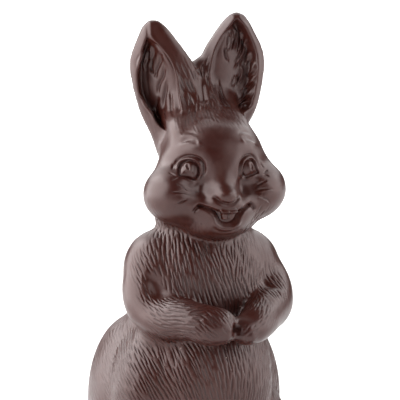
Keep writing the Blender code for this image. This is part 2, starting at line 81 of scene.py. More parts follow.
# Places with a wider fillet: centre, reach and rounds.
FILLETS = (
    ((0.5, 8, 217), (9, 9, 6), 30),
    ((0, 50, 70), (14, 12, 14), 30),
    ((0, -5, 195), (25, 14, 11), 36),
    ((-31, -4, 68), (18, 25, 34), 170),
    ((-26, -15, 112), (8, 10, 12), 25),
)

# An ear from its root to its tip: height, place across, place from front to back, half width, half thickness.
EAR = (
    (172, 14.0, 6.0, 6.0, 7.0),
    (184, 14.4, 6.0, 9.8, 7.0),
    (196, 15.4, 6.0, 14.2, 7.0),
    (208, 16.0, 6.0, 16.6, 6.8),
    (216, 16.8, 6.0, 16.7, 6.4),
    (222, 18.2, 6.0, 14.4, 6.0),
    (229, 19.1, 6.0, 10.4, 5.4),
    (235, 20.0, 6.0, 6.6, 4.6),
    (240, 20.8, 6.0, 0.0, 0.0),
)
EAR_SIDES = 40
EAR_MIDDLE = -0.7
# What differs between the near ear, -1, and the far one, 1: turn, share of the width, and rise of the tip.
EAR_TURNS = {-1: -18.0, 1: 8.0}
EAR_WIDTHS = {-1: 0.93, 1: 1.0}
EAR_TIPS = {-1: -1.3, 1: 0.3}

# The dish in each ear, from its lower end to its tip: height, places of its outer and its inner edge.
DISHES = {
    -1: (
        (184.5, -17.5, -17.4),
        (188, -20.6, -14.6),
        (192.5, -23.4, -13.0),
        (198, -26.9, -12.9),
        (204, -28.9, -13.1),
        (210, -29.4, -13.7),
        (215, -29.1, -15.0),
        (220, -28.1, -17.4),
        (225, -26.6, -20.6),
        (229, -25.2, -23.4),
        (231, -24.5, -24.4),
    ),
    1: (
        (190.5, 16.5, 16.4),
        (194.5, 22.8, 10.2),
        (198, 24.4, 7.6),
        (203, 25.8, 5.8),
        (209, 26.8, 5.7),
        (215, 27.3, 6.6),
        (221, 27.0, 8.2),
        (227.5, 24.8, 11.5),
        (233, 22.2, 15.4),
        (237, 19.0, 18.9),
    ),
}
DISH_DEPTHS = {-1: 7.5, 1: 6.0}
DISH_SLOPE = 0.35
DISH_EDGE = 0.18
OUTER_WALL = 3.2
INNER_WALL = 1.3
RIM_HEIGHT = 0.8
FOREHEAD_AHEAD = (-16.0, -11.0)
RIM_ROUNDS = 10

# Hair in the ears, seen from the front: raised strands and cut grooves, near ear then far ear.
EAR_STRANDS = (
    [(-26.9, 223.8), (-27.6, 221.1), (-28.8, 217.9), (-28.7, 213.8)],
    [(-24.5, 226.3), (-23.7, 223.7), (-24.1, 219.9), (-25.0, 216.7), (-24.5, 212.4)],
    [(-23.2, 226.8), (-22.3, 223.2), (-22.5, 220.4), (-23.5, 218.1)],
    [(-27.9, 204.6), (-26.9, 198.6), (-24.0, 193.8), (-21.8, 188.6)],
    [(16.1, 231.3), (15.8, 225.9), (15.2, 223.1), (13.9, 220.2)],
    [(17.8, 233.0), (19.7, 229.3), (18.6, 225.2), (16.8, 221.0)],
    [(20.2, 231.8), (21.8, 227.5), (20.6, 222.0), (18.9, 219.0)],
    [(21.9, 230.0), (23.4, 225.6), (22.5, 220.4), (19.4, 216.0), (16.9, 211.4)],
    [(25.4, 221.5), (24.6, 216.8), (22.8, 213.4)],
    [(26.3, 216.8), (26.0, 212.1), (23.7, 207.6)],
    [(21.4, 215.6), (21.2, 209.9), (18.4, 205.0)],
    [(18.4, 210.6), (17.4, 206.4), (15.6, 203.6)],
    [(26.4, 210.6), (25.0, 206.0), (20.7, 201.6)],
    [(25.2, 204.6), (23.6, 200.3), (20.3, 197.0), (15.6, 194.9)],
    [(23.6, 198.0), (20.0, 194.6), (16.8, 193.4)],
)
EAR_CUTS = (
    [(-19.3, 223.3), (-18.8, 218.2), (-20.4, 213.2), (-20.5, 208.6)],
    [(-17.2, 216.5), (-17.6, 211.2), (-19.5, 206.6), (-19.9, 201.4)],
    [(-15.7, 210.4), (-16.7, 204.6), (-17.7, 200.0), (-18.2, 195.4), (-19.2, 189.6)],
    [(-19.2, 201.6), (-20.5, 196.4), (-20.4, 190.4)],
    [(-14.7, 205.6), (-15.3, 199.8), (-16.2, 194.1), (-16.7, 188.6)],
    [(-21.5, 219.3), (-22.4, 215.4), (-21.5, 211.0)],
    [(9.0, 209.4), (9.6, 202.0), (11.7, 195.8), (15.3, 191.4)],
    [(7.6, 205.0), (8.6, 199.0), (11.3, 193.4)],
    [(13.4, 224.6), (13.2, 219.8), (14.8, 215.6)],
)
EAR_WALLS = (
    [
        (-24.3, 228.8), (-20.3, 225.0), (-16.8, 220.5), (-14.6, 216.1),
        (-13.5, 210.2), (-13.1, 204.3), (-13.1, 198.5), (-13.3, 191.4),
    ],
    [
        (16.4, 233.4), (11.4, 227.3), (8.2, 221.0), (6.6, 215.3),
        (5.8, 209.5), (5.9, 203.6), (7.2, 198.8), (10.4, 194.2),
    ],
)

# The face's own frame, seen from the front: across from its middle line, and height.
FACE_MIDDLE = -2.0
FACE_CENTRE = 160.0
FACE_TILT = -1.7
SIDE_MOUNDS = (
    ((13.8, 168.5), (7.5, 6.5), -1.6, 0),
    ((15.0, 159.5), (5.6, 5.0), -2.4, 0),
    ((13.5, 178.8), (6.5, 2.8), 1.2, -8),
    ((5.4, 153.6), (4.6, 3.2), 0.8, 0),
)
MIDDLE_MOUNDS = (
    ((0.2, 157.4), (5.0, 3.7), 3.4),
    ((0, 139.5), (9, 4), 1.2),
)
SIDE_LINES = (
    ([(9.6, 167), (10.2, 160), (12.0, 155)], 2.4, -2.0, 0.4),
    ([(8.4, 185), (7.0, 177), (5.6, 170), (5.2, 162)], 3.0, 0.35, 0.4),
    ([(20.5, 163.8), (15, 161.3), (9.5, 162.0)], 1.3, -0.6, 0.4),
)
EYE_CENTRE = (14.1, 169.8)
EYE_MIDDLE = -0.7
EYE_SIZE = 0.92
EYE_OUTLINE = (
    (5.2, -3.6), (4.3, -0.4), (2.6, 2.0), (0.2, 3.2), (-2.3, 2.6), (-4.0, 0.5), (-4.4, -2.4), (-3.4, -5.0),
    (-1.4, -5.9), (0.9, -5.2), (3.2, -4.4),
)
LID_RIDGE = [
    (5.8, -2.4), (4.8, 0.6), (2.8, 3.1), (0.3, 4.4), (-2.6, 3.9), (-4.7, 1.9), (-5.3, -1.6), (-4.6, -4.8),
    (-3.2, -6.8),
]
LID_FOLD = [
    (7.0, -3.2), (5.8, 0.2), (3.9, 3.5), (0.6, 5.5), (-3.0, 5.2), (-5.6, 3.0), (-6.5, -0.8), (-6.0, -4.4),
    (-4.8, -7.2),
]
LOWER_LID = [(5.3, -3.9), (3.0, -5.2), (0.2, -6.3), (-2.4, -7.0)]
IRIS = (1.9, 2.8)
PUPIL = (0.75, 1.5)
BROW_RIDGES = (
    [(18.2, 181.4), (15.2, 183.5), (11.8, 184.2), (8.6, 182.8)],
    [(18.6, 177.6), (17.0, 179.6), (14.4, 180.8), (11.6, 180.8)],
    [(11.0, 183.2), (10.2, 181.6), (11.4, 179.8)],
)
BROW_GROOVES = (
    [(17.6, 180.0), (14.8, 182.2), (11.8, 182.6)],
    [(17.0, 185.0), (12.0, 185.8), (8.6, 184.6)],
)
NOSE_FOLD = [(0, 152.8), (3.0, 153.6), (5.2, 155.3), (6.4, 157.4)]
MOUTH_MIDDLE = 0.6
UPPER_LIP = [(0, 149.1), (3.6, 149.5), (7.2, 150.8), (10.2, 152.1), (12.6, 153.0)]
LOWER_LIP = [(0, 142.4), (2.6, 142.8), (4.9, 144.6), (6.3, 147.2), (8.4, 149.4), (10.8, 151.0), (13.2, 151.8)]
MOUTH_CORNER = [(12.0, 152.4), (13.8, 151.2), (15.4, 148.8)]
LIP_RIDGE = [(0, 141.0), (3.2, 141.5), (5.7, 143.6), (7.2, 146.8)]
LIP_FOLD = [(0, 139.6), (3.8, 140.2), (7.2, 142.6)]
TEETH = (3.9, 145.4, 149.8)
WHISKERS = (
    [(16.2, 158.8), (19.0, 161.2), (23.2, 163.1)],
    [(15.2, 157.2), (19.2, 158.6), (23.4, 158.8), (26.6, 157.8)],
    [(16.0, 155.6), (18.6, 155.2), (22.2, 153.4), (24.6, 151.0)],
)
LASHES = (
    [(20.0, 171.8), (21.0, 170.0), (22.2, 167.8)],
    [(24.2, 167.5), (22.8, 166.9), (20.8, 166.0)],
    [(24.2, 164.0), (22.6, 165.0), (20.4, 165.6)],
)

# The paws, in the figure's frame.
FINGERS = (
    [(-12.5, -44.5, 92), (-12.0, -44.5, 88), (-11.5, -41, 83)],
    [(-7.5, -44.5, 92), (-6.8, -44, 87.5), (-6.2, -41, 83)],
    [(5.0, -43.5, 91.5), (4.8, -43, 87.5), (4.6, -40, 83.5)],
    [(10.6, -43.5, 91), (10.8, -43, 87), (11.0, -40, 83)],
)
KNUCKLES = (
    (-17.1, -40.2, 89.8), (-10.2, -44.0, 89.6), (-4.2, -43.6, 91.0), (2.6, -42.6, 90.4), (8.2, -43.4, 89.6),
)
NEAR_ARMPIT = [(-31.5, -9, 120), (-29.5, -14, 113), (-27.0, -19, 106)]
FAR_ARMPIT = [(23, -14, 119), (25, -19, 112), (31, -20, 107)]
THUMB_EDGE = [(-3.0, -38.7, 99.0), (-3.9, -42.4, 96.3), (-3.9, -43.8, 93.3)]
PAW_GAP = (0.4, -41, 95)
FAR_PALM = (8, -38, 99)
TOE_FOLDS = (20, 28)

# How the fur runs: a place on the skin, the place it runs towards, its depth share and its strokes' length.
CHEST_FUR = (
    ((-24, -9, 132), (-24.3, -12.5, 125.7), 0.75, 7),
    ((-18.7, -12, 133), (-18.8, -16.5, 124), 1.0, 8),
    ((-12.8, -15, 134), (-11.4, -19, 126), 1.0, 8.5),
    ((-6.9, -18.9, 133.6), (-3.4, -21.3, 123), 1.0, 9),
    ((1, -19, 131), (4.3, -22, 119.5), 1.0, 9),
    ((5.3, -22, 134), (3.3, -20.7, 125.5), 0.9, 8),
    ((10.6, -18.4, 128), (8.4, -21.6, 118), 1.0, 9),
    ((15.8, -17.9, 125), (15, -20, 115.5), 0.9, 8),
    ((-23.5, -14.4, 121), (-22.2, -16.3, 112), 1.0, 8),
    ((-17.8, -17.8, 121), (-16.1, -19.7, 109.5), 1.0, 9),
    ((-11, -20.7, 120), (-8, -22, 108.5), 1.0, 9),
    ((-3.2, -22.2, 118.5), (0.6, -22.6, 108), 1.0, 9),
    ((6.7, -22.2, 115), (9.4, -21.6, 107.5), 1.0, 9),
)
ARM_FUR = (
    ((-34.2, -6, 125.4), (-31, -10.8, 117.4), 0.75, 6.5),
    ((-32.7, -11.3, 115), (-29.9, -18.7, 107), 1.0, 7),
    ((-33.6, -18.1, 104.6), (-30.7, -23.8, 101.5), 0.9, 6),
    ((-26.7, -26.4, 103), (-19.2, -32.6, 102.6), 0.9, 6.5),
    ((-25.8, -30.5, 99), (-18.7, -37.8, 98.7), 0.9, 6.5),
    ((-27.6, -28.9, 94), (-20.9, -37.3, 93.7), 0.8, 6.5),
    ((-17.4, -34.3, 102.3), (-12.4, -33.9, 102.9), 0.8, 5),
    ((-11.8, -32.2, 103), (-8.4, -42.7, 97.5), 0.8, 5.5),
    ((-17, -39.8, 97.6), (-12.5, -43.4, 91), 0.8, 5.5),
    ((-9.1, -38, 101.5), (-4.6, -42.9, 96), 0.6, 5),
    ((11.2, -29.8, 103), (7.8, -33.5, 99.9), 0.9, 5),
    ((9.8, -38.5, 98.2), (5.6, -41.8, 95.3), 0.9, 5),
    ((25.2, -16.5, 115), (28.5, -23, 110), 0.8, 6),
)
BELLY_FUR = (
    ((-28.3, 0.2, 86), (-28.5, -11.8, 79), 0.9, 8),
    ((-28.7, -20.8, 88), (-23.6, -20.1, 78.7), 1.0, 8.5),
    ((-23.5, -25.5, 86), (-17.2, -25.5, 78), 1.0, 9),
    ((-14, -28.5, 84), (-10.1, -29.1, 75), 1.0, 9),
    ((-5.7, -30.6, 84), (-2.8, -30.6, 75), 0.95, 9),
    ((3.6, -30.4, 84), (5.1, -30.4, 75), 0.9, 8.5),
    ((11.8, -28.3, 84), (12.8, -28.3, 76), 0.8, 8),
    ((21, -24.8, 84), (17.7, -24.8, 78), 0.7, 7),
    ((-27.8, -15.3, 75), (-24.8, -20.7, 66), 0.9, 9),
    ((-18.9, -25, 76), (-15.6, -28, 67), 1.0, 9),
    ((-8.5, -30, 75), (-6, -31.2, 65.5), 0.95, 9),
    ((3.4, -31, 74), (3.7, -31.6, 65), 0.9, 9),
    ((13.4, -28, 72), (12.7, -28.6, 63), 0.8, 9),
    ((-14, -27, 50), (-12, -25, 40), 0.8, 8),
    ((0, -29, 50), (0, -26, 40), 0.8, 8),
    ((14, -27, 50), (12, -25, 40), 0.8, 8),
    ((30, 6, 98), (30.5, 0, 89), 0.7, 7),
    ((28.5, -8, 96), (28, -14, 87), 0.7, 7.5),
    ((28.3, 0.2, 86), (28.5, -9, 77), 0.8, 8),
    ((31, -6, 72), (29, -13, 64), 0.8, 8),
)
# These are mirrored to the other side.
SIDE_FUR = (
    ((-36.8, 10.4, 78), (-34.3, 3.1, 70.4), 0.9, 8),
    ((-40, 8.3, 67), (-36.9, 2.7, 61), 0.8, 8),
    ((-41.2, 25.8, 79.6), (-41.4, 14.7, 72.7), 0.45, 7),
    ((-47, 30, 58), (-46.5, 23, 50), 0.25, 7),
    ((-38, -8, 50), (-34, -15, 40), 0.6, 7),
    ((-42, 8, 32), (-40, 1, 24), 0.3, 6),
    ((-33, 62, 70), (-32, 66, 58), 0.6, 7),
    ((-30, 66, 42), (-27, 65, 32), 0.6, 7),
    ((-14, 60, 62), (-14, 62, 50), 0.8, 8),
    ((-37, 10, 112), (-36, 12, 102), 0.3, 6),
    ((-22, 22, 124), (-24, 27, 114), 0.7, 7),
    ((-26, 36, 100), (-28, 41, 90), 0.7, 8),
    ((-10, 30, 126), (-10, 36, 116), 0.85, 8),
    ((-10, 44, 104), (-10, 47, 94), 0.85, 8.5),
    ((-12, 50, 84), (-12, 53, 74), 0.85, 8.5),
    ((0, 46, 78), (0, 51, 68), 0.35, 7),
    ((0, 52, 66), (0, 57, 56), 0.5, 7),
    ((-24, -30, 18), (-24, -38, 16), 0.5, 4),
    ((-36, -20, 10), (-35, -28, 9), 0.3, 4),
    ((-10, 68, 34), (-8, 74, 29), 0.9, 4.5),
    ((-12, 64, 22), (-10, 71, 17), 0.9, 4.5),
    ((-18, 24, 144), (-18, 26, 136), 0.6, 6),
    ((-24, 8, 156), (-25, 6, 148), 0.35, 5),
    ((-22, 14, 166), (-23, 14, 158), 0.3, 5),
)
HEAD_FUR = (
    ((-8.4, 4, 216), (-5.4, 4, 208), 0.9, 8),
    ((-9, 3.8, 210), (-3.6, 4, 202), 1.2, 8.5),
    ((-7.7, 3.8, 202), (-3.8, 3.4, 194), 1.2, 8.5),
    ((-1.6, 5, 212), (-1.4, 4.4, 200), 1.2, 8),
    ((-0.6, 3.6, 199), (-1.0, 3.4, 192), 1.3, 7),
    ((6.3, 5.4, 218), (3.8, 5.8, 211), 0.9, 7),
    ((4.9, 4.6, 210), (2.6, 4.2, 202), 1.2, 8),
    ((4.6, 4, 202), (8.4, 3.8, 194), 1.2, 7.5),
    ((-4.2, -2, 193), (-9, -12, 190.6), 0.6, 6),
    ((-2.6, -8.8, 193), (-4.4, -19, 190), 0.55, 6),
    ((2.6, -8.8, 193), (4.4, -20, 190), 0.55, 6),
    ((8.5, -3, 193), (12, -15, 190), 0.5, 6),
    ((-24, 0.5, 143.5), (-23.4, -0.2, 139), 0.9, 3.5),
    ((16, -26, 145), (14.6, -26, 140), 0.9, 3.5),
    ((-14, -24, 139), (-13, -20, 134), 0.35, 3.5),
    ((4, -27, 138), (4, -22, 133), 0.35, 3.5),
    ((-16, 14, 205), (-16, 14, 195), 0.35, 7),
    ((16, 14, 205), (16, 14, 195), 0.35, 7),
    ((0, 16, 196), (0, 18, 186), 0.8, 8),
    ((0, 22, 176), (0, 24, 164), 0.7, 7),
    ((0, 24, 154), (0, 26, 142), 0.7, 7),
)
# Places that stay smooth.
SMOOTH_PLACES = (
    (-24, -14, 160), (28, -12, 160), (-18, -22, 152), (20, -22, 152), (0, -32, 178), (0, -26, 186),
    (-16, -25, 182), (18, -22, 182), (0, -36, 160), (-8, -34, 148), (10, -33, 148), (0, -30, 141),
    (-26, -4, 172), (28, -2, 172), (-24, -6, 182), (26, -4, 182), (-38.5, 4, 122), (-38, -6, 108),
    (-36, -14, 98), (38.5, 2, 120), (39, -6, 110), (34, -16, 100), (24, -26, 100), (27, -24, 92),
    (14, -38, 91), (21, -20, 126), (30, 0, 132), (-31, 2, 132), (-4, -44, 90), (-12, -44, 86), (6, -43, 88),
    (-16, -4, 194), (16, -4, 194), (-30, -4, 208), (30, -4, 208), (-20, 2, 212), (18, 2, 212),
    (-22, 2, 200), (19, 2, 200), (-24, 2, 224), (21, 2, 224), (-25, 10, 230), (24, 10, 230), (-26, 13, 216),
    (26, 13, 216), (0, 10, 0), (-27, -20, 0), (27, -20, 0), (-24, -48, 9), (24, -48, 9), (-8, 3, 222),
    (6, 4, 224), (-3, 5, 219), (2, 5, 219), (0, 12, 218),
)


# A finer skin: how many times each face is split in four.
REFINED = 2
FUR_LEAST = 0.12
FUR_SWAY = 3.0
FUR_LENGTHS = (0.95, 1.25)
FUR_BEND = 0.06
# The cuts between the pieces: place from front to back and height, measured from the box's front and foot.
NECK_CUT = (0.0, 137.5)
WAIST_CUT = (0.0, 84.0)
LAP_CUT = (56.0, 0.0)
CRUMB_BOX = ((-30, 0, 60), (20, 60, 104))
GROOVE_ROUGHER = 0.12

FLOOR_HALF = 16.0
FLOOR_SHADE = 0.97
# The backdrop from its inner edge outwards: radius and height over the floor.
BACKDROP = ((1.1, 0.001), (5.0, 0.001), (5.0, 4.0))
BACKDROP_SIDES = 48
# The softboxes: azimuth and elevation in degrees, distance and size in metres.
LEFT_SOFTBOX = (-108, 16, 1.2, (2.1, 2.0))
RIGHT_SOFTBOX = (60, 16, 1.3, (2.0, 2.0))
# The light that hangs over the far floor and faces straight down.
BACK_SIZE = (12.0, 14.0)
BACK_PLACE = (2.6, 7.6, 3.5)
CAMERA_LENS = 230.0
VIEW_TARGET = (-2.2, -12.8, 152.4)


# The form.


def smooth_step(low, high, value):
    t = np.clip((value - low) / (high - low), 0, 1)
    return t * t * (3 - 2 * t)


def smooth_curve(stations, steps):
    """A Catmull-Rom curve through the stations, with this many steps between each two."""
    stations = np.array(stations, dtype=float)
    padded = np.vstack([2 * stations[0] - stations[1], stations, 2 * stations[-1] - stations[-2]])
    t = np.linspace(0, 1, steps, endpoint=False)[:, None]
    pieces = []
    for a, b, c, d in zip(padded, padded[1:], padded[2:], padded[3:]):
        cubic = (3 * b - 3 * c + d - a) * t**3 + (2 * a - 5 * b + 4 * c - d) * t**2
        pieces.append((cubic + (c - a) * t) / 2 + b)
    return np.vstack([*pieces, stations[-1:]])


def new_object(name, mesh):
    obj = bpy.data.objects.new(name, mesh)
    bpy.context.scene.collection.objects.link(obj)
    return obj


def from_bmesh(name, bm):
    mesh = bpy.data.meshes.new(name)
    bm.to_mesh(mesh)
    bm.free()
    return new_object(name, mesh)


def evaluated_mesh(obj):
    """The object's mesh with its modifiers applied."""
    bpy.context.view_layer.update()
    graph = bpy.context.evaluated_depsgraph_get()
    return bpy.data.meshes.new_from_object(obj.evaluated_get(graph))


def ball(name, centre, radii, turn=(0, 0, 0)):
    """An ellipsoid, turned about X, Y and Z in degrees."""
    bm = bmesh.new()
    bmesh.ops.create_icosphere(bm, subdivisions=4, radius=1.0)
    turned = Matrix.Identity(4)
    for axis, angle in zip("XYZ", turn):
        turned = Matrix.Rotation(math.radians(angle), 4, axis) @ turned
    placed = Matrix.Translation(Vector(centre) * UNIT) @ turned
    bmesh.ops.transform(bm, matrix=placed @ Matrix.Diagonal((*[r * UNIT for r in radii], 1)), verts=bm.verts)
    return from_bmesh(name, bm)


def limb(name, stations):
    """A tapering limb through (x, y, z, radius) stations, with round ends."""
    curve = bpy.data.curves.new(name, "CURVE")
    curve.dimensions = "3D"
    curve.bevel_depth = UNIT
    curve.bevel_resolution = 6
    curve.resolution_u = 8
    curve.use_fill_caps = True
    spline = curve.splines.new("BEZIER")
    spline.bezier_points.add(len(stations) - 1)
    for point, (x, y, z, radius) in zip(spline.bezier_points, stations):
        point.co = (x * UNIT, y * UNIT, z * UNIT)
        point.radius = radius
        point.handle_left_type = point.handle_right_type = "AUTO"
    obj = new_object(name, curve)
    ends = [ball(name, s[:3], (s[3],) * 3) for s in (stations[0], stations[-1])]
    return [obj, *ends]


def ear_stations(steps=8):
    """EAR with smooth steps between its stations. Half widths go as square roots, so the tip is round."""
    stations = np.array(EAR, dtype=float)
    stations[:, 3:] **= 2
    stations = smooth_curve(stations, steps)
    stations[:, 3:] = np.sqrt(np.maximum(stations[:, 3:], 0.0))
    return stations


def ear_mass(side):
    """A long flat leaf, turned a little about its middle."""
    bm = bmesh.new()
    turn = math.radians(EAR_TURNS[side])
    corners = [math.tau * k / EAR_SIDES for k in range(EAR_SIDES)]
    rings = []
    for z, x, y, width, thickness in ear_stations():
        ring = []
        rise = EAR_TIPS[side] * smooth_step(205, 240, z)
        for angle in corners:
            across = EAR_WIDTHS[side] * width * math.cos(angle)
            front = -thickness * math.sin(angle)
            out = x + across * math.cos(turn) - front * math.sin(turn)
            back = y - across * math.sin(turn) + front
            ring.append(bm.verts.new(Vector((EAR_MIDDLE + side * out, back, z + rise)) * UNIT))
        rings.append(ring)
    for lower, upper in zip(rings, rings[1:]):
        for k in range(EAR_SIDES):
            after = (k + 1) % EAR_SIDES
            bm.faces.new((lower[k], lower[after], upper[after], upper[k]))
    bm.faces.new(rings[0])
    bm.faces.new(rings[-1])
    bmesh.ops.remove_doubles(bm, verts=bm.verts, dist=1e-6)
    bmesh.ops.recalc_face_normals(bm, faces=bm.faces)
    return from_bmesh("ear", bm)


def body_masses():
    return [
        ball("chest", (0, 3, 112), (34, 26, 35)),
        ball("belly", (0, -2, 66), (32, 30, 44)),
        ball("back", (0, 18, 84), (33, 29, 53), (9, 0, 0)),
        ball("seat", (0, 30, 36), (38, 34, 40)),
        ball("near_shoulder", (-20.4, 4, 118.3), (18.7, 18, 20.3)),
        ball("far_shoulder", (20.5, 3.5, 117.8), (18.2, 18, 19.4)),
        ball("near_lap", (-29.5, 2, 62), (16, 20.5, 28)),
        ball("far_breast", (15, -11, 105), (14, 10, 13)),
        ball("tail", (0, 64, 24), (13, 12, 13)),
    ]


def haunch_masses():
    made = []
    for side in (-1, 1):
        made += [
            ball("thigh", (side * 23.8, 30, 51.8), (23.6, 34, 42.8), (4, 0, 0)),
            ball("knee", (side * 27, 4, 34), (17, 24, 30), (-14, 0, 0)),
            *limb("foot", [
                (side * 27, 24, 8.5, 11),
                (side * 27, -4, 8.5, 11),
                (side * 25, -30, 8, 11.5),
                (side * 24, -38, 7.5, 10.5),
            ]),
        ]
    return made


def arm_masses():
    near = [
        (-20, 4, 120, 14),
        (-27.5, 1, 111, 13.6),
        (-27.5, -9, 98.5, 11.2),
        (-17.5, -27, 98.2, 9.4),
        (-9.5, -34.5, 96.0, 9.8),
        (-6.5, -35.8, 95.8, 9.2),
    ]
    far = [
        (20, 4, 120, 14),
        (27.5, 1, 113, 14),
        (29.5, -9, 104.5, 12.0),
        (20, -25, 98.2, 9.6),
        (11.5, -34, 94.8, 8.7),
        (7.5, -36, 93.8, 8.0),
    ]
    return [*limb("near_arm", near), *limb("far_arm", far)]


def head_masses():
    made = [
        ball("cranium", (HEAD_MIDDLE + 1.0, -7, 171), (24.8, 27, 23)),
        ball("muzzle", (HEAD_MIDDLE - 0.8, -22, 149), (17, 15, 12.5)),
        ball("snout", (HEAD_MIDDLE - 2.2, -27, 154), (9, 10.5, 7.5)),
        ball("bridge", (HEAD_MIDDLE - 2.2, -24, 163.5), (7.0, 11, 16), (-18, 0, 0)),
        ball("chin", (HEAD_MIDDLE, -17, 144.3), (19, 15, 9.7)),
        ball("nape", (-0.3, 2, 151), (25.6, 19, 25.4)),
        ball("web", (0, 9, 186), (16.5, 6, 32.3)),
        *limb("crown", [(0.5, 9, 214, 5), (0.5, 3, 202, 7), (0.5, -6, 190, 8), (0.5, -14, 183, 8)]),
    ]
    for side in (-1, 1):
        made += [
            *limb("ear_foot", [
                (side * 10.5, 9, 210, 5),
                (side * 11, 3.5, 200, 6.5),
                (side * 12, -4, 190, 7.5),
                (side * 13, -12, 182, 8),
            ]),
            ball("cheek", (HEAD_MIDDLE - 0.5 + side * 17.5, -14, 156.8), (18, 18, 15.2)),
            ball("temple", (HEAD_MIDDLE + 0.6 + side * 14, -9, 167), (14, 15, 13)),
            ear_mass(side),
        ]
    return made


def fuse(masses, voxel):
    """Joins the overlapping masses into one closed skin."""
    graph = bpy.context.evaluated_depsgraph_get()
    bm = bmesh.new()
    for obj in masses:
        mesh = bpy.data.meshes.new_from_object(obj.evaluated_get(graph))
        mesh.transform(obj.matrix_world)
        bm.from_mesh(mesh)
        bpy.data.meshes.remove(mesh)
        bpy.data.objects.remove(obj)
    bmesh.ops.remove_doubles(bm, verts=bm.verts, dist=1e-6)
    whole = from_bmesh("bunny_skin", bm)
    remesh = whole.modifiers.new("fuse", "REMESH")
    remesh.mode = "VOXEL"
    remesh.voxel_size = voxel * UNIT
    skin = evaluated_mesh(whole)
    whole.modifiers.clear()
    whole.data = skin
    return whole


def refine(whole, levels):
    """Splits every face of the skin in four, this many times."""
    finer = whole.modifiers.new("finer", "SUBSURF")
    finer.levels = finer.render_levels = levels
    mesh = evaluated_mesh(whole)
    whole.modifiers.clear()
    whole.data = mesh


class Skin:
    """The figure's skin as arrays, so that it can be smoothed and pressed like modelling clay."""

    def __init__(self, obj):
        self.mesh = obj.data
        self.points = np.empty((len(self.mesh.vertices), 3))
        self.mesh.vertices.foreach_get("co", self.points.ravel())
        self.points /= UNIT
        self.edges = np.empty((len(self.mesh.edges), 2), dtype=np.int64)
        self.mesh.edges.foreach_get("vertices", self.edges.ravel())
        self.valence = np.bincount(self.edges.ravel(), minlength=len(self.points))[:, None]

    def neighbours_mean(self, values):
        a, b = self.edges.T
        total = np.empty_like(values)
        for axis in range(values.shape[1]):
            total[:, axis] = np.bincount(a, values[b, axis], len(values))
            total[:, axis] += np.bincount(b, values[a, axis], len(values))
        return total / self.valence

    def relax(self, rounds, share=0.5):
        """Rounds off creases: each point moves a share of the way to its neighbours' mean."""
        for _ in range(rounds):
            self.points += (self.neighbours_mean(self.points) - self.points) * share

    def normals(self, rounds=3):
        """The skin's normals, averaged over their neighbours this many times."""
        self.store()
        normals = np.empty((len(self.points), 3), dtype=np.float32)
        self.mesh.vertices.foreach_get("normal", normals.ravel())
        normals = normals.astype(float)
        for _ in range(rounds):
            normals = self.neighbours_mean(normals)
        return normals / np.linalg.norm(normals, axis=1)[:, None]

    def store(self):
        self.mesh.vertices.foreach_set("co", (self.points * UNIT).astype(np.float32).ravel())
        self.mesh.update()


def soften(skin):
    """Fillets between the masses: wide on the head, narrower on the body, least on the ears."""
    ears = smooth_step(*EAR_LEVEL, skin.points[:, 2:])
    head = smooth_step(*HEAD_LEVEL, skin.points[:, 2:]) * (1 - ears)
    back = smooth_step(8, 16, skin.points[:, 1:2]) * (1 - ears)
    skin.relax(BODY_ROUNDS, 0.5 * (1 - ears + EAR_SHARE * ears))
    skin.relax(HEAD_ROUNDS, 0.5 * head)
    skin.relax(BACK_ROUNDS, 0.5 * back)
    for centre, radii, rounds in FILLETS:
        fillet(skin, centre, radii, rounds)


def fillet(skin, centre, radii, rounds):
    """Rounds off one place more than the rest."""
    away = np.linalg.norm((skin.points - centre) / radii, axis=1)
    skin.relax(rounds, 0.5 * smooth_step(1.0, 0.6, away)[:, None])


def lean_head(skin):
    """Turns the head and ears about the neck, and leans them to one side."""
    x, y, z = skin.points.T.copy()
    share = smooth_step(*NECK_LEVEL, z)
    turn = -np.radians(HEAD_TURN + FACE_TURN * (1 - smooth_step(*CROWN_LEVEL, z))) * share
    x, y = x * np.cos(turn) - y * np.sin(turn), x * np.sin(turn) + y * np.cos(turn)
    tilt = math.radians(HEAD_TILT) * share
    rise = z - TILT_CENTRE
    skin.points[:, 0] = x * np.cos(tilt) - rise * np.sin(tilt)
    skin.points[:, 1] = y
    skin.points[:, 2] = TILT_CENTRE + x * np.sin(tilt) + rise * np.cos(tilt)


# Features pressed into the skin or raised on it.


def path_distance(points, path):
    """Each point's distance to a polyline, and how far along it the nearest place lies, from 0 to 1."""
    best = np.full(len(points), np.inf)
    along = np.zeros(len(points))
    spans = np.linalg.norm(np.diff(path, axis=0), axis=1)
    start = 0.0
    for a, b, span in zip(path, path[1:], spans):
        t = np.clip((points - a) @ (b - a) / max(span**2, 1e-9), 0, 1)
        distance = np.linalg.norm(points - a - t[:, None] * (b - a), axis=1)
        nearer = distance < best
        best[nearer] = distance[nearer]
        along[nearer] = (start + t[nearer] * span) / spans.sum()
        start += span
    return best, along


def inside_outline(points, outline):
    """Which points lie inside a closed flat outline."""
    x, z = points.T
    inside = np.zeros(len(points), dtype=bool)
    for (ax, az), (bx, bz) in zip(outline, np.roll(outline, -1, axis=0)):
        crosses = (az > z) != (bz > z)
        rise = np.where(abs(bz - az) < 1e-9, 1e-9, bz - az)
        inside ^= crosses & (x < (bx - ax) * (z - az) / rise + ax)
    return inside


def face_frame(points):
    """Places on the face seen from the front: across from its middle line, and height."""
    x, z = points[:, 0] - FACE_MIDDLE, points[:, 2] - FACE_CENTRE
    tilt = math.radians(FACE_TILT)
    across, up = x * math.cos(tilt) + z * math.sin(tilt), z * math.cos(tilt) - x * math.sin(tilt)
    return np.column_stack([across, FACE_CENTRE + up])


def front_frame(points):
    """Places seen from the front: across and height."""
    return points[:, [0, 2]]


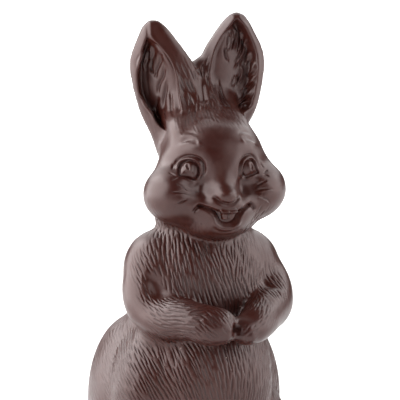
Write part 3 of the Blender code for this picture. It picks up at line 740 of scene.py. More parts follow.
class Brush:
    """Presses and raises features on the part of the skin that a region picks, along its normals.

    A path has two numbers a point in the brush's flat frame, and three in the figure's frame.
    """

    finest = 0.35

    def __init__(self, skin, region, flat_frame=face_frame):
        self.skin = skin
        self.chosen = np.nonzero(region > 0.01)[0]
        self.share = region[self.chosen]
        self.normals = skin.normals()[self.chosen]
        self.solid = skin.points[self.chosen].copy()
        self.flat = flat_frame(self.solid)
        self.lift = np.zeros(len(self.chosen))

    def places(self, path):
        return self.flat if len(path[0]) == 2 else self.solid

    def line(self, path, width, height, taper=0.25, smooth=6):
        """A ridge of this height along a path, or a groove where the height is negative."""
        path = smooth_curve(path, smooth)
        width = max(width, self.finest)
        places = self.places(path)
        margin = 3 * width
        close = ((places > path.min(axis=0) - margin) & (places < path.max(axis=0) + margin)).all(axis=1)
        distance, along = path_distance(places[close], path)
        ends = smooth_step(0, taper, along) * smooth_step(0, taper, 1 - along) if taper else 1.0
        self.lift[close] += height * np.exp(-((distance / width) ** 2)) * ends

    def mound(self, centre, radii, height, turn=0.0):
        """A soft round rise, or a hollow where the height is negative."""
        offset = self.places([centre]) - np.array(centre, dtype=float)
        if turn:
            angle = math.radians(turn)
            u, v = offset.T.copy()
            across, up = u * math.cos(angle) + v * math.sin(angle), v * math.cos(angle) - u * math.sin(angle)
            offset = np.column_stack([across, up])
        self.lift += height * np.exp(-((offset / radii) ** 2).sum(axis=1))

    def depth_inside(self, outline):
        """Each point's distance inside a closed outline, negative outside it."""
        loop = smooth_curve([*outline, outline[0]], 6)
        distance, _ = path_distance(self.flat, loop)
        return np.where(inside_outline(self.flat, loop[:-1]), distance, -distance)

    def finish(self):
        self.skin.points[self.chosen] += self.normals * (self.lift * self.share)[:, None]


def mirrored(path, side):
    return [(side * point[0], *point[1:]) for point in path]


def both_sides(half):
    """A path that starts on the middle line, carried on to the other side."""
    return mirrored(half[:0:-1], -1) + list(half)


def hollow_ears(skin, deeper):
    """A dish in the front of each ear: a steep outer wall, a channel, and a slope up to its inner edge."""
    normals = skin.normals()
    x, y, z = skin.points.T.copy()
    stations = ear_stations()
    centre_x, centre_y = [np.interp(z, stations[:, 0], stations[:, k]) for k in (1, 2)]
    for side, dish in DISHES.items():
        turn = math.radians(EAR_TURNS[side])
        out = side * (x - EAR_MIDDLE)
        behind = (y - centre_y) * math.cos(turn) + (out - centre_x) * math.sin(turn)
        front = smooth_step(1, -2, behind) * smooth_step(*FOREHEAD_AHEAD, behind)
        front *= smooth_step(-0.1, 0.3, -normals[:, 1]) * (out > 0)
        edges = smooth_curve(dish, 8)
        outer, inner = [np.interp(z, edges[:, 0], edges[:, k]) for k in (1, 2)]
        from_outer, from_inner = side * (outer - x), side * (x - inner)
        share = np.clip(from_outer / np.maximum(from_outer + from_inner, 0.5), 0, 1)
        slope = 1 - (1 - DISH_EDGE) * np.clip((share - DISH_SLOPE) / (1 - DISH_SLOPE), 0, 1)
        walls = smooth_step(-0.4, OUTER_WALL, from_outer) * smooth_step(-0.4, INNER_WALL, from_inner)
        inside = np.minimum(from_outer, from_inner)
        rim = RIM_HEIGHT * np.exp(-(((inside + 1.0) / 1.2) ** 2)) * smooth_step(*EAR_LEVEL, z)
        skin.points[:, 1] += ((DISH_DEPTHS[side] + deeper) * slope * walls - rim) * front
    skin.relax(RIM_ROUNDS, 0.5 * smooth_step(*EAR_LEVEL, skin.points[:, 2:]))


def ear_region(skin):
    """The front of the ears and of the web between them."""
    normals = skin.normals()
    _, y, z = skin.points.T
    return smooth_step(0.05, 0.4, -normals[:, 1]) * smooth_step(-9, -6, y) * smooth_step(185, 189, z)


def comb_ears(skin):
    """The wavy hair in the ears, the cut along each dish's inner wall and the valley between the ears."""
    brush = Brush(skin, ear_region(skin), front_frame)
    for strand in EAR_STRANDS:
        brush.line(strand, 0.55, 1.15, 0.4)
        for offset in (-1.1, 1.1):
            brush.line([(x + offset, z) for x, z in strand], 0.55, -0.35, 0.4)
    for cut in EAR_CUTS:
        brush.line(cut, 0.55, -0.9, 0.35)
    for wall in EAR_WALLS:
        brush.line(wall, 0.8, -1.1, 0.12)
    brush.line([(0.2, 212), (-0.4, 203), (-1.2, 193)], 2.2, -1.9, 0.35)
    brush.finish()


def face_region(skin):
    """The front of the head."""
    normals = skin.normals()
    _, y, z = skin.points.T
    front = smooth_step(0.0, 0.3, -normals[:, 1]) * smooth_step(-6, -12, y)
    return front * smooth_step(134, 140, z) * smooth_step(194, 188, z)


def shape_face(skin):
    """Brow, bridge, cheek, nose and chin."""
    brush = Brush(skin, face_region(skin))
    for side in (-1, 1):
        for centre, radii, height, turn in SIDE_MOUNDS:
            brush.mound((side * centre[0], centre[1]), radii, height, side * turn)
        for path, width, height, taper in SIDE_LINES:
            brush.line(mirrored(path, side), width, height, taper)
    for centre, radii, height in MIDDLE_MOUNDS:
        brush.mound(centre, radii, height)
    brush.finish()


def on_eye(path, side):
    """A path round an eye in the face's frame: it is given outwards and upwards from the iris."""
    across, up = EYE_CENTRE
    return [(EYE_MIDDLE + side * (across + EYE_SIZE * u), up + EYE_SIZE * v) for u, v in path]


def shape_eyes(skin):
    """Each eye: the two folds of its lids, the domed eyeball and the raised iris with its pupil."""
    brush = Brush(skin, face_region(skin))
    u, v = brush.flat.T
    for side in (-1, 1):
        inside = brush.depth_inside(on_eye(EYE_OUTLINE, side))
        brush.lift -= 1.1 * np.exp(-(((inside - 0.1) / 0.55) ** 2))
        brush.lift += 1.5 * smooth_step(0.1, 3.4, inside)
        brush.line(on_eye(LID_RIDGE, side), 0.65, 0.8, 0.2)
        brush.line(on_eye(LID_FOLD, side), 0.6, -0.9, 0.25)
        brush.line(on_eye(LOWER_LID, side), 0.5, 0.5, 0.3)
        across, up = u - EYE_MIDDLE - side * EYE_CENTRE[0], v - EYE_CENTRE[1]
        iris = np.hypot(across / IRIS[0], up / IRIS[1])
        pupil = np.hypot(across / PUPIL[0], (up + 0.3) / PUPIL[1])
        brush.lift += 0.5 * smooth_step(1.15, 0.75, iris) - 0.7 * smooth_step(1.3, 0.5, pupil)
        for path in BROW_RIDGES:
            brush.line(mirrored(path, side), 0.7, 0.3, 0.4)
        for path in BROW_GROOVES:
            brush.line(mirrored(path, side), 0.6, -0.3, 0.4)
        for path in LASHES:
            brush.line(mirrored(path, side), 0.38, -0.5, 0.45)
    brush.finish()


def on_mouth(path, side=1):
    return [(MOUTH_MIDDLE + side * u, v) for u, v in path]


def mouth_outline():
    """Along the upper lip from the bunny's left corner to its right one, then back along the lower lip."""
    return on_mouth(both_sides(UPPER_LIP), -1) + on_mouth(both_sides(LOWER_LIP))


def shape_nose_and_mouth(skin):
    """The fold under the nose, the smiling mouth with its two front teeth, and the whiskers."""
    brush = Brush(skin, face_region(skin))
    u, v = brush.flat.T
    brush.line(both_sides(NOSE_FOLD), 0.9, -1.5, 0.12)
    mouth = brush.depth_inside(mouth_outline())
    brush.lift -= 3.0 * smooth_step(-0.2, 1.1, mouth)
    brush.lift -= 0.9 * np.exp(-((mouth / 0.5) ** 2)) * (mouth < 0.5)
    half, low, high = TEETH
    across = np.abs(u - MOUTH_MIDDLE)
    tooth = smooth_step(half + 0.35, half - 0.35, across + 0.28 * (high - v))
    tooth *= smooth_step(low - 0.4, low + 0.4, v) * smooth_step(high + 0.8, high, v)
    brush.lift += tooth * (2.5 - 0.8 * np.exp(-((across / 0.35) ** 2)))
    brush.line(on_mouth(both_sides(LIP_RIDGE)), 0.8, 0.5, 0.2)
    brush.line(on_mouth(both_sides(LIP_FOLD)), 0.9, -0.4, 0.2)
    for side in (-1, 1):
        brush.line(on_mouth(MOUTH_CORNER, side), 0.8, -1.4, 0.3)
        for path in WHISKERS:
            brush.line(mirrored(path, side), 0.42, -0.5, 0.45)
            brush.line([(x, z - 0.9) for x, z in mirrored(path, side)], 0.45, 0.2, 0.45)
    brush.finish()


def shape_paws(skin):
    """The fingers with their knuckles, the gap between the paws and the crease inside each arm."""
    _, y, z = skin.points.T
    front = smooth_step(-4, -9, y) * smooth_step(78, 82, z) * smooth_step(130, 124, z)
    brush = Brush(skin, front)
    for finger in FINGERS:
        brush.line(finger, 0.9, -1.9, 0.3)
    for knuckle in KNUCKLES:
        brush.mound(knuckle, (2.4, 2.4, 2.4), 0.7)
    brush.line(NEAR_ARMPIT, 3.2, -1.6, 0.4)
    brush.line(FAR_ARMPIT, 2.0, -1.2, 0.3)
    brush.line(THUMB_EDGE, 0.9, 0.9, 0.3)
    brush.mound(PAW_GAP, (1.6, 4.0, 2.4), -4.0)
    brush.mound(FAR_PALM, (5.0, 5.0, 5.0), -1.6)
    brush.finish()


def shape_feet(skin):
    """Two folds between the three toes of each foot."""
    _, y, z = skin.points.T
    brush = Brush(skin, smooth_step(-26, -32, y) * smooth_step(30, 24, z))
    for side in (-1, 1):
        for x in TOE_FOLDS:
            fold = [(side * x, -36, 19), (side * x, -44, 15.5), (side * x, -49, 9)]
            brush.line(fold, 1.1, -1.9, 0.3)
    brush.finish()


# The fur: thousands of lens-shaped strokes cut into the skin.


def fur_guides():
    """The guides as arrays: place, direction, depth share and length."""
    rows = [*CHEST_FUR, *ARM_FUR, *BELLY_FUR, *HEAD_FUR, *SIDE_FUR]
    rows += [(*mirrored(row[:2], -1), *row[2:]) for row in SIDE_FUR]
    rows += [(place, (place[0], place[1], place[2] - 1), 0.0, 6) for place in SMOOTH_PLACES]
    start, end = [np.array([row[k] for row in rows], dtype=float) for k in (0, 1)]
    way = (end - start) / np.linalg.norm(end - start, axis=1)[:, None]
    depth, length = [np.array([row[k] for row in rows], dtype=float) for k in (2, 3)]
    return (start + end) / 2, way, depth, length


class FurFlow:
    """Blends the guides: the nearest count most."""

    def __init__(self):
        self.places, self.ways, self.depths, self.lengths = fur_guides()
        self.weights = np.where(self.depths > 0, 1.0, 0.8)

    def at(self, points, normals):
        """The fur's direction along the skin, its depth share and its length at these points."""
        gap = ((points[:, None] - self.places[None]) ** 2).sum(axis=2)
        pull = self.weights / (gap + 4.0) ** 2.5
        total = pull.sum(axis=1)
        ways = (pull * (self.depths + 0.02)) @ self.ways
        ways -= normals * (ways * normals).sum(axis=1)[:, None]
        ways /= np.maximum(np.linalg.norm(ways, axis=1), 1e-9)[:, None]
        return ways, pull @ self.depths / total, pull @ self.lengths / total


def seed_tree():
    """A Geometry Nodes tree that scatters places over a skin and keeps their normals."""
    tree = bpy.data.node_groups.new("fur_seeds", "GeometryNodeTree")
    face = tree.interface
    face.new_socket("Geometry", in_out="INPUT", socket_type="NodeSocketGeometry")
    density = face.new_socket("Seeds per square metre", in_out="INPUT", socket_type="NodeSocketFloat")
    seed = face.new_socket("Seed", in_out="INPUT", socket_type="NodeSocketInt")
    face.new_socket("Geometry", in_out="OUTPUT", socket_type="NodeSocketGeometry")
    nodes, links = tree.nodes, tree.links
    entry, leave = nodes.new("NodeGroupInput"), nodes.new("NodeGroupOutput")
    scatter = nodes.new("GeometryNodeDistributePointsOnFaces")
    scatter.distribute_method = "RANDOM"
    keep = nodes.new("GeometryNodeStoreNamedAttribute")
    keep.data_type = "FLOAT_VECTOR"
    keep.domain = "POINT"
    keep.inputs["Name"].default_value = "outwards"
    dots = nodes.new("GeometryNodePointsToVertices")
    links.new(entry.outputs["Geometry"], scatter.inputs["Mesh"])
    links.new(entry.outputs["Seeds per square metre"], scatter.inputs["Density"])
    links.new(entry.outputs["Seed"], scatter.inputs["Seed"])
    links.new(scatter.outputs["Points"], keep.inputs["Geometry"])
    links.new(scatter.outputs["Normal"], keep.inputs["Value"])
    links.new(keep.outputs["Geometry"], dots.inputs["Points"])
    links.new(dots.outputs["Mesh"], leave.inputs["Geometry"])
    return tree, density.identifier, seed.identifier


def fur_seeds(plain, density, seed):
    """Places scattered over the skin, with their normals."""
    tree, density_input, seed_input = seed_tree()
    helper = new_object("fur_seeds", plain.copy())
    scatter = helper.modifiers.new("scatter", "NODES")
    scatter.node_group = tree
    scatter[density_input] = density
    scatter[seed_input] = seed
    dots = evaluated_mesh(helper)
    places = np.empty((len(dots.vertices), 3))
    dots.vertices.foreach_get("co", places.ravel())
    normals = np.empty((len(dots.vertices), 3))
    dots.attributes["outwards"].data.foreach_get("vector", normals.ravel())
    bpy.data.meshes.remove(dots)
    bpy.data.objects.remove(helper)
    bpy.data.node_groups.remove(tree)
    return places / UNIT, normals


def spread(places, normals, ways, lengths, pitch, seed):
    """Picks places so that strokes lie side by side at this pitch, staggered like roof tiles."""
    sides = np.cross(normals, ways)
    reach = 0.62 * lengths
    cell = float(reach.max())
    keys = np.floor(places / cell).astype(int)
    held = {}
    kept = []
    around = [(i, j, k) for i in (-1, 0, 1) for j in (-1, 0, 1) for k in (-1, 0, 1)]
    for n in np.random.default_rng(seed).permutation(len(places)):
        key = tuple(keys[n])
        close = [m for i, j, k in around for m in held.get((key[0] + i, key[1] + j, key[2] + k), ())]
        if close:
            gap = places[close] - places[n]
            along, across, off = gap @ ways[n], gap @ sides[n], gap @ normals[n]
            crowd = (along / reach[n]) ** 2 + (across / pitch) ** 2 < 1
            if (crowd & (np.abs(off) < 2.5)).any():
                continue
        held.setdefault(key, []).append(n)
        kept.append(n)
    return np.array(kept)


class Cells:
    """Finds the skin's points in a box quickly."""

    def __init__(self, points, size=3.0):
        self.size = size
        self.low = points.min(axis=0) - size
        cells = ((points - self.low) / size).astype(np.int64)
        self.counts = cells.max(axis=0) + 3
        keys = (cells[:, 0] * self.counts[1] + cells[:, 1]) * self.counts[2] + cells[:, 2]
        self.order = np.argsort(keys, kind="stable")
        self.keys = keys[self.order]

    def within(self, low, high):
        first = ((low - self.low) / self.size).astype(np.int64)
        last = ((high - self.low) / self.size).astype(np.int64)
        columns = [
            (i * self.counts[1] + j) * self.counts[2]
            for i in range(first[0], last[0] + 1)
            for j in range(first[1], last[1] + 1)
        ]
        starts = np.searchsorted(self.keys, [c + first[2] for c in columns])
        stops = np.searchsorted(self.keys, [c + last[2] + 1 for c in columns])
        return np.concatenate([self.order[a:b] for a, b in zip(starts, stops)])


def stroke_path(tree, place, way, length, bend):
    """A stroke's five points, which follow the skin on both sides of its middle and bend a little."""
    halves = []
    for sign in (-1, 1):
        here, heading = Vector(place), Vector(way) * sign
        ends = []
        for _ in range(2):
            found, normal, _, _ = tree.find_nearest(here + heading * (length / 4))
            heading = (found - here).normalized()
            heading = (heading + normal.cross(heading) * (bend * sign)).normalized()
            here = found
            ends.append(np.array(found))
        halves.append(ends)
    return np.array([*halves[0][::-1], place, *halves[1]])


def leaf(along):
    """The share of a stroke's full width and depth at each place along it: a leaf with two pointed ends."""
    return np.sin(np.pi * along**0.85) ** 0.75


def cut_fur(skin, plain, fur):
    """Cuts the strokes into the skin. Returns how deep each point lies in them, from 0 to 1."""
    flow = FurFlow()
    places, normals = fur_seeds(plain, fur.seeds, fur.seed)
    ways, depths, lengths = flow.at(places, normals)
    furry = depths > FUR_LEAST
    places, normals, ways, depths, lengths = [a[furry] for a in (places, normals, ways, depths, lengths)]
    kept = spread(places, normals, ways, lengths, fur.pitch / UNIT * 0.001, fur.seed)
    rng = np.random.default_rng(fur.seed)
    points = np.empty((len(plain.vertices), 3))
    plain.vertices.foreach_get("co", points.ravel())
    faces = [tuple(face.vertices) for face in plain.polygons]
    tree = BVHTree.FromPolygons([tuple(point) for point in points / UNIT], faces)
    cells = Cells(skin.points)
    width, depth = fur.half_width / UNIT * 0.001, fur.depth / UNIT * 0.001
    cut = np.zeros(len(skin.points))
    for n in kept:
        sway = math.radians(rng.normal(0, FUR_SWAY))
        way = ways[n] * math.cos(sway) + np.cross(normals[n], ways[n]) * math.sin(sway)
        length = lengths[n] * rng.uniform(*FUR_LENGTHS)
        path = stroke_path(tree, places[n], way, length, rng.uniform(-FUR_BEND, FUR_BEND))
        near = cells.within(path.min(axis=0) - width, path.max(axis=0) + width)
        distance, along = path_distance(skin.points[near], path)
        share = leaf(along)
        stroke = np.clip(1 - distance / (width * (0.35 + 0.65 * share)), 0, 1) ** 0.9
        stroke *= share * min(depths[n], 1.3) * rng.uniform(0.8, 1.1)
        cut[near] = np.maximum(cut[near], stroke)
    skin.points -= skin.normals() * (cut * depth)[:, None]
    return np.clip(cut, 0, 1)


# From the sculpted skin to the finished piece.


def sculpt_form(skin):
    """The main form, as in the solid."""
    soften(skin)
    shape_face(skin)
    skin.store()


def sculpt_details(skin, deeper_ears):
    """What the fine skin adds: the ears' dishes and hair, the eyes, the mouth, the paws and the toes."""
    hollow_ears(skin, deeper_ears)
    comb_ears(skin)
    shape_eyes(skin)
    shape_nose_and_mouth(skin)
    shape_paws(skin)
    shape_feet(skin)
    skin.store()


def settle(skin):
    """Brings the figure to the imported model's height, and its box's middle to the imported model's."""
    low, high = skin.points.min(axis=0), skin.points.max(axis=0)
    middle = (low + high) / 2
    skin.points -= (middle[0], middle[1], low[2])
    skin.points *= (HIGH.z - LOW.z) / UNIT / (high[2] - low[2])
    skin.points += ((LOW.x + HIGH.x) / 2 / UNIT, (LOW.y + HIGH.y) / 2 / UNIT, LOW.z / UNIT)


def keep_groove(mesh, groove):
    """Stores how deep each point lies in the fur, for the chocolate's colour: painted shade in the grooves, a
    painted highlight on the ridges.
    """
    layer = mesh.attributes.new("groove", "FLOAT", "POINT")
    layer.data.foreach_set("value", groove.astype(np.float32))


def thinned(whole, triangles):
    """The same form with at most this many triangles."""
    thin = whole.modifiers.new("thin", "DECIMATE")
    thin.ratio = triangles / (2 * len(whole.data.polygons))
    mesh = evaluated_mesh(whole)
    bpy.data.objects.remove(whole)
    return new_object("bunny", mesh)


def clipped(bm, place, outwards):
    """Cuts away what lies beyond a plane, and closes the cut with a flat, sharp-edged face."""
    everything = [*bm.verts, *bm.edges, *bm.faces]
    bmesh.ops.bisect_plane(bm, geom=everything, plane_co=place, plane_no=outwards, clear_outer=True)
    seam = [edge for edge in bm.edges if edge.is_boundary]
    bmesh.ops.holes_fill(bm, edges=seam, sides=0)
    for edge in seam:
        edge.smooth = False


def split(whole):
    """The head, the chest with the arms, the lap and the back as closed pieces that meet face to face."""
    corner = Vector((0, LOW.y, LOW.z))
    neck, waist, middle = [corner + Vector((0, y, z)) * UNIT for y, z in (NECK_CUT, WAIST_CUT, LAP_CUT)]
    up, back = Vector((0, 0, 1)), Vector((0, 1, 0))
    cuts = {
        "bunny_head": [(neck, -up)],
        "bunny_chest": [(neck, up), (waist, -up)],
        "bunny_lap": [(waist, up), (middle, back)],
        "bunny_back": [(waist, up), (middle, -back)],
    }
    pieces = []
    for name, planes in cuts.items():
        bm = bmesh.new()
        bm.from_mesh(whole.data)
        for place, outwards in planes:
            clipped(bm, place, outwards)
        bmesh.ops.triangulate(bm, faces=bm.faces)
        pieces.append(from_bmesh(name, bm))
    bpy.data.objects.remove(whole)
    return pieces


def flatten_base(whole):
    """Cuts the figure level at the floor, so that it stands flat, and closes the cut."""
    bm = bmesh.new()
    bm.from_mesh(whole.data)
    everything = [*bm.verts, *bm.edges, *bm.faces]
    bmesh.ops.bisect_plane(bm, geom=everything, plane_co=(0, 0, LOW.z), plane_no=(0, 0, 1), clear_inner=True)
    bmesh.ops.holes_fill(bm, edges=[edge for edge in bm.edges if edge.is_boundary], sides=0)
    bmesh.ops.triangulate(bm, faces=bm.faces)
    bm.to_mesh(whole.data)
    bm.free()


# Materials.


class Nodes:
    """A short way to write a material's nodes."""

    def __init__(self, name):
        self.material = bpy.data.materials.new(name)
        self.material.use_nodes = True
        self.tree = self.material.node_tree
        self.shader = self.tree.nodes["Principled BSDF"]

    def add(self, kind, values=(), **settings):
        """A node with its settings, and its inputs by name: a number, a colour or another node's output."""
        node = self.tree.nodes.new(kind)
        for key, value in settings.items():
            setattr(node, key, value)
        for name, value in dict(values).items():
            self.feed(node.inputs[name], value)
        return node

    def feed(self, socket, value):
        if isinstance(value, bpy.types.NodeSocket):
            self.tree.links.new(value, socket)
        else:
            socket.default_value = value

    def noise(self, scale, detail=3.0, roughness=0.5):
        where = self.add("ShaderNodeTexCoord").outputs["Object"]
        values = {"Vector": where, "Scale": scale, "Detail": detail, "Roughness": roughness}
        return self.add("ShaderNodeTexNoise", values).outputs["Fac"]

    def ramp(self, value, low, high, start=0.0, end=1.0):
        """The value, with start to end stretched to low to high."""
        values = {"Value": value, "From Min": start, "From Max": end, "To Min": low, "To Max": high}
        return self.add("ShaderNodeMapRange", values).outputs["Result"]

    def sum(self, a, b, operation="ADD"):
        node = self.add("ShaderNodeMath", operation=operation)
        self.feed(node.inputs[0], a)
        self.feed(node.inputs[1], b)
        return node.outputs["Value"]

    def mix(self, share, a, b, blend="MIX"):
        node = self.add("ShaderNodeMix", data_type="RGBA", blend_type=blend)
        self.feed(node.inputs["Factor"], share)
        self.feed(node.inputs[6], a)
        self.feed(node.inputs[7], b)
        return node.outputs[2]


def moulded_chocolate(look):
    """Satin dark chocolate with a faint bloom. Painted light: darker, redder grooves as painted shade, and
    paler ridges as a painted highlight.
    """
    nodes = Nodes("dark_chocolate")
    groove = nodes.add("ShaderNodeAttribute", attribute_name="groove").outputs["Fac"]
    broad = nodes.noise(28.0, 4.0)
    cloudy = nodes.noise(160.0, 5.0, 0.6)
    fine = nodes.noise(1500.0, 3.0, 0.6)
    skin = nodes.mix(nodes.ramp(broad, 0.0, 1.0, 0.35, 0.65), (*look.colour, 1.0), (*look.red_colour, 1.0))
    patches = nodes.ramp(cloudy, 0.0, look.bloom_and_ridge_highlight, 0.5, 0.75)
    # Real bloom lies in random pale patches. Keeping it out of the grooves paints the ridges paler, a painted
    # highlight.
    bloom_and_ridge_highlight = nodes.sum(patches, nodes.ramp(groove, 1.0, 0.0, 0.0, 0.5), "MULTIPLY")
    skin = nodes.mix(bloom_and_ridge_highlight, skin, (*look.bloom_colour, 1.0))
    # Painted shade: the deeper a point lies in a groove, the darker and redder its colour.
    skin = nodes.mix(nodes.ramp(groove, 0.0, 1.0, 0.05, 0.7), skin, (*look.painted_groove_shade, 1.0))
    nodes.feed(nodes.shader.inputs["Base Color"], skin)
    duller = nodes.ramp(groove, look.roughness, look.roughness + GROOVE_ROUGHER)
    rough = nodes.sum(nodes.ramp(cloudy, -0.05, 0.06, 0.3, 0.7), duller)
    nodes.feed(nodes.shader.inputs["Roughness"], rough)
    nodes.shader.inputs["IOR"].default_value = 1.5
    nodes.shader.inputs["Specular Tint"].default_value = (*look.sheen_colour, 1.0)
    height = nodes.sum(nodes.ramp(fine, 0.0, 0.35), nodes.ramp(cloudy, 0.0, 1.0))
    bump = nodes.add("ShaderNodeBump", {"Strength": 0.35, "Distance": 0.00012, "Height": height})
    nodes.feed(nodes.shader.inputs["Normal"], bump.outputs["Normal"])
    return nodes.material


def pale_crumb(look):
    """Dry milky flakes of scraped chocolate."""
    nodes = Nodes("chocolate_crumb")
    tone = nodes.mix(nodes.noise(900.0), (*look.crumb_colour, 1.0), (*look.bloom_colour, 1.0))
    nodes.feed(nodes.shader.inputs["Base Color"], tone)
    nodes.shader.inputs["Roughness"].default_value = 0.7
    return nodes.material


def matt_floor(stage):
    """A pale seamless floor."""
    nodes = Nodes("pale_floor")
    shaded = [FLOOR_SHADE * part for part in stage.floor_colour]
    tone = nodes.mix(nodes.noise(2.0), (*stage.floor_colour, 1.0), (*shaded, 1.0))
    nodes.feed(nodes.shader.inputs["Base Color"], tone)
    nodes.shader.inputs["Roughness"].default_value = 0.9
    nodes.shader.inputs["Specular IOR Level"].default_value = 0.1
    return nodes.material


def pale_paper():
    """Evenly lit paper."""
    nodes = Nodes("pale_paper")
    nodes.shader.inputs["Emission Color"].default_value = (1, 1, 1, 1)
    nodes.shader.inputs["Emission Strength"].default_value = 1.0
    return nodes.material


# Crumbs.


def crumb_tree(material):
    """A Geometry Nodes tree that drops small flakes on a skin. Returns it with its inputs' identifiers."""
    tree = bpy.data.node_groups.new("crumbs", "GeometryNodeTree")
    face = tree.interface
    face.new_socket("Geometry", in_out="INPUT", socket_type="NodeSocketGeometry")
    inputs = {
        name: face.new_socket(name, in_out="INPUT", socket_type=kind).identifier
        for name, kind in (
            ("Crumbs per square metre", "NodeSocketFloat"),
            ("Size", "NodeSocketFloat"),
            ("Seed", "NodeSocketInt"),
        )
    }
    face.new_socket("Geometry", in_out="OUTPUT", socket_type="NodeSocketGeometry")
    nodes, links = tree.nodes, tree.links
    entry, leave = nodes.new("NodeGroupInput"), nodes.new("NodeGroupOutput")
    scatter = nodes.new("GeometryNodeDistributePointsOnFaces")
    flake = nodes.new("GeometryNodeMeshIcoSphere")
    flake.inputs["Subdivisions"].default_value = 1
    place = nodes.new("GeometryNodeInstanceOnPoints")
    turn = nodes.new("FunctionNodeRandomValue")
    turn.data_type = "FLOAT_VECTOR"
    turn.inputs["Max"].default_value = (math.tau, math.tau, math.tau)
    size = nodes.new("FunctionNodeRandomValue")
    size.data_type = "FLOAT_VECTOR"
    size.inputs["Min"].default_value = (0.5, 0.35, 0.2)
    size.inputs["Max"].default_value = (1.0, 0.7, 0.4)
    realize = nodes.new("GeometryNodeRealizeInstances")
    coat = nodes.new("GeometryNodeSetMaterial")
    coat.inputs["Material"].default_value = material
    links.new(entry.outputs["Geometry"], scatter.inputs["Mesh"])
    links.new(entry.outputs["Crumbs per square metre"], scatter.inputs["Density"])
    for node in (scatter, turn, size):
        links.new(entry.outputs["Seed"], node.inputs["Seed"])
    links.new(entry.outputs["Size"], flake.inputs["Radius"])
    links.new(scatter.outputs["Points"], place.inputs["Points"])
    links.new(flake.outputs["Mesh"], place.inputs["Instance"])
    links.new(turn.outputs[0], place.inputs["Rotation"])
    links.new(size.outputs[0], place.inputs["Scale"])
    links.new(place.outputs["Instances"], realize.inputs["Geometry"])
    links.new(realize.outputs["Geometry"], coat.inputs["Geometry"])
    links.new(coat.outputs["Geometry"], leave.inputs["Geometry"])
    return tree, inputs


def crumb_ground(pieces):
    """The part of the skin that caught crumbs: the front of the belly and the tops of the paws."""
    bm = bmesh.new()
    for piece in pieces:
        bm.from_mesh(piece.data)
    low, high = [Vector(corner) * UNIT + Vector((0, LOW.y, LOW.z)) for corner in CRUMB_BOX]

    def bare(face):
        middle = face.calc_center_median()
        inside = all(low[k] < middle[k] < high[k] for k in range(3))
        return not (inside and face.normal.y < -0.3)

    bmesh.ops.delete(bm, geom=[face for face in bm.faces if bare(face)], context="FACES")
    return from_bmesh("crumb_ground", bm)


# Stage.


def look_from(azimuth, elevation):
    """The direction from the bunny to someone who stands at this azimuth and elevation."""
    return Vector((
        math.sin(azimuth) * math.cos(elevation),
        -math.cos(azimuth) * math.cos(elevation),
        math.sin(elevation),
    ))


def soft_light(name, size, radiance):
    """A large soft light that faces straight down. Its brightness doesn't depend on its size."""
    light = bpy.data.lights.new(name, "AREA")
    light.shape = "RECTANGLE"
    light.size, light.size_y = size
    light.energy = radiance * math.pi * size[0] * size[1]
    return new_object(name, light)


def softbox(name, place, radiance, target):
    """A soft light beside the bunny that faces the target."""
    azimuth, elevation, distance, size = place
    lamp = soft_light(name, size, radiance)
    back = look_from(math.radians(azimuth), math.radians(elevation))
    lamp.location = target + back * distance
    lamp.rotation_euler = back.to_track_quat("Z", "Y").to_euler()


def build_floor(material):
    bm = bmesh.new()
    bmesh.ops.create_grid(bm, x_segments=1, y_segments=1, size=FLOOR_HALF)
    bmesh.ops.translate(bm, vec=(0, 0, LOW.z), verts=bm.verts)
    floor = from_bmesh("floor", bm)
    floor.data.materials.append(material)
    return floor


def build_backdrop(material):
    """A round sheet of paper with an upright edge. It is only seen: it casts no light and no shade."""
    bm = bmesh.new()
    corners = [bm.verts.new((radius, 0, LOW.z + height)) for radius, height in BACKDROP]
    edges = [bm.edges.new(pair) for pair in zip(corners, corners[1:])]
    turn = {"cent": (0, 0, 0), "axis": (0, 0, 1), "angle": 2 * math.pi, "steps": BACKDROP_SIDES}
    bmesh.ops.spin(bm, geom=[*corners, *edges], use_merge=True, **turn)
    paper = from_bmesh("backdrop", bm)
    paper.data.materials.append(material)
    paper.visible_diffuse = paper.visible_glossy = paper.visible_shadow = False
    return paper


def build_camera(stage, target):
    camera = bpy.data.cameras.new("camera")
    camera.lens = CAMERA_LENS
    camera.sensor_width = CAMERA_LENS * stage.view_width / stage.distance
    camera.clip_start, camera.clip_end = 0.05, 100.0
    holder = new_object("camera", camera)
    back = look_from(stage.azimuth, stage.elevation)
    holder.location = target + back * stage.distance
    holder.rotation_euler = back.to_track_quat("Z", "Y").to_euler()
    bpy.context.scene.camera = holder


# The add-on's own classes.


class FurSettings(bpy.types.PropertyGroup):
    pitch: bpy.props.FloatProperty(
        name="Pitch", description="Distance in millimetres from one stroke of fur to the next",
        default=1.5, min=0.5)
    half_width: bpy.props.FloatProperty(
        name="Half width", description="Half the width of a stroke in millimetres", default=0.62, min=0.1)
    depth: bpy.props.FloatProperty(
        name="Depth", description="Depth of a full stroke in millimetres", default=0.5, min=0.0)
    seeds: bpy.props.FloatProperty(
        name="Seeds", description="Places tried for a stroke, per square metre of skin",
        default=900000.0, min=0.0)
    seed: bpy.props.IntProperty(
        name="Seed", description="Another seed gives another layout of the strokes",
        default=7)


class MouldSettings(bpy.types.PropertyGroup):
    deeper_ears: bpy.props.FloatProperty(
        name="Deeper ears", description="Millimetres added to the depth of the hollow in each ear",
        default=0.0)
    triangles: bpy.props.IntProperty(
        name="Triangles", description="The most triangles in the finished skin", default=600000, min=20000)


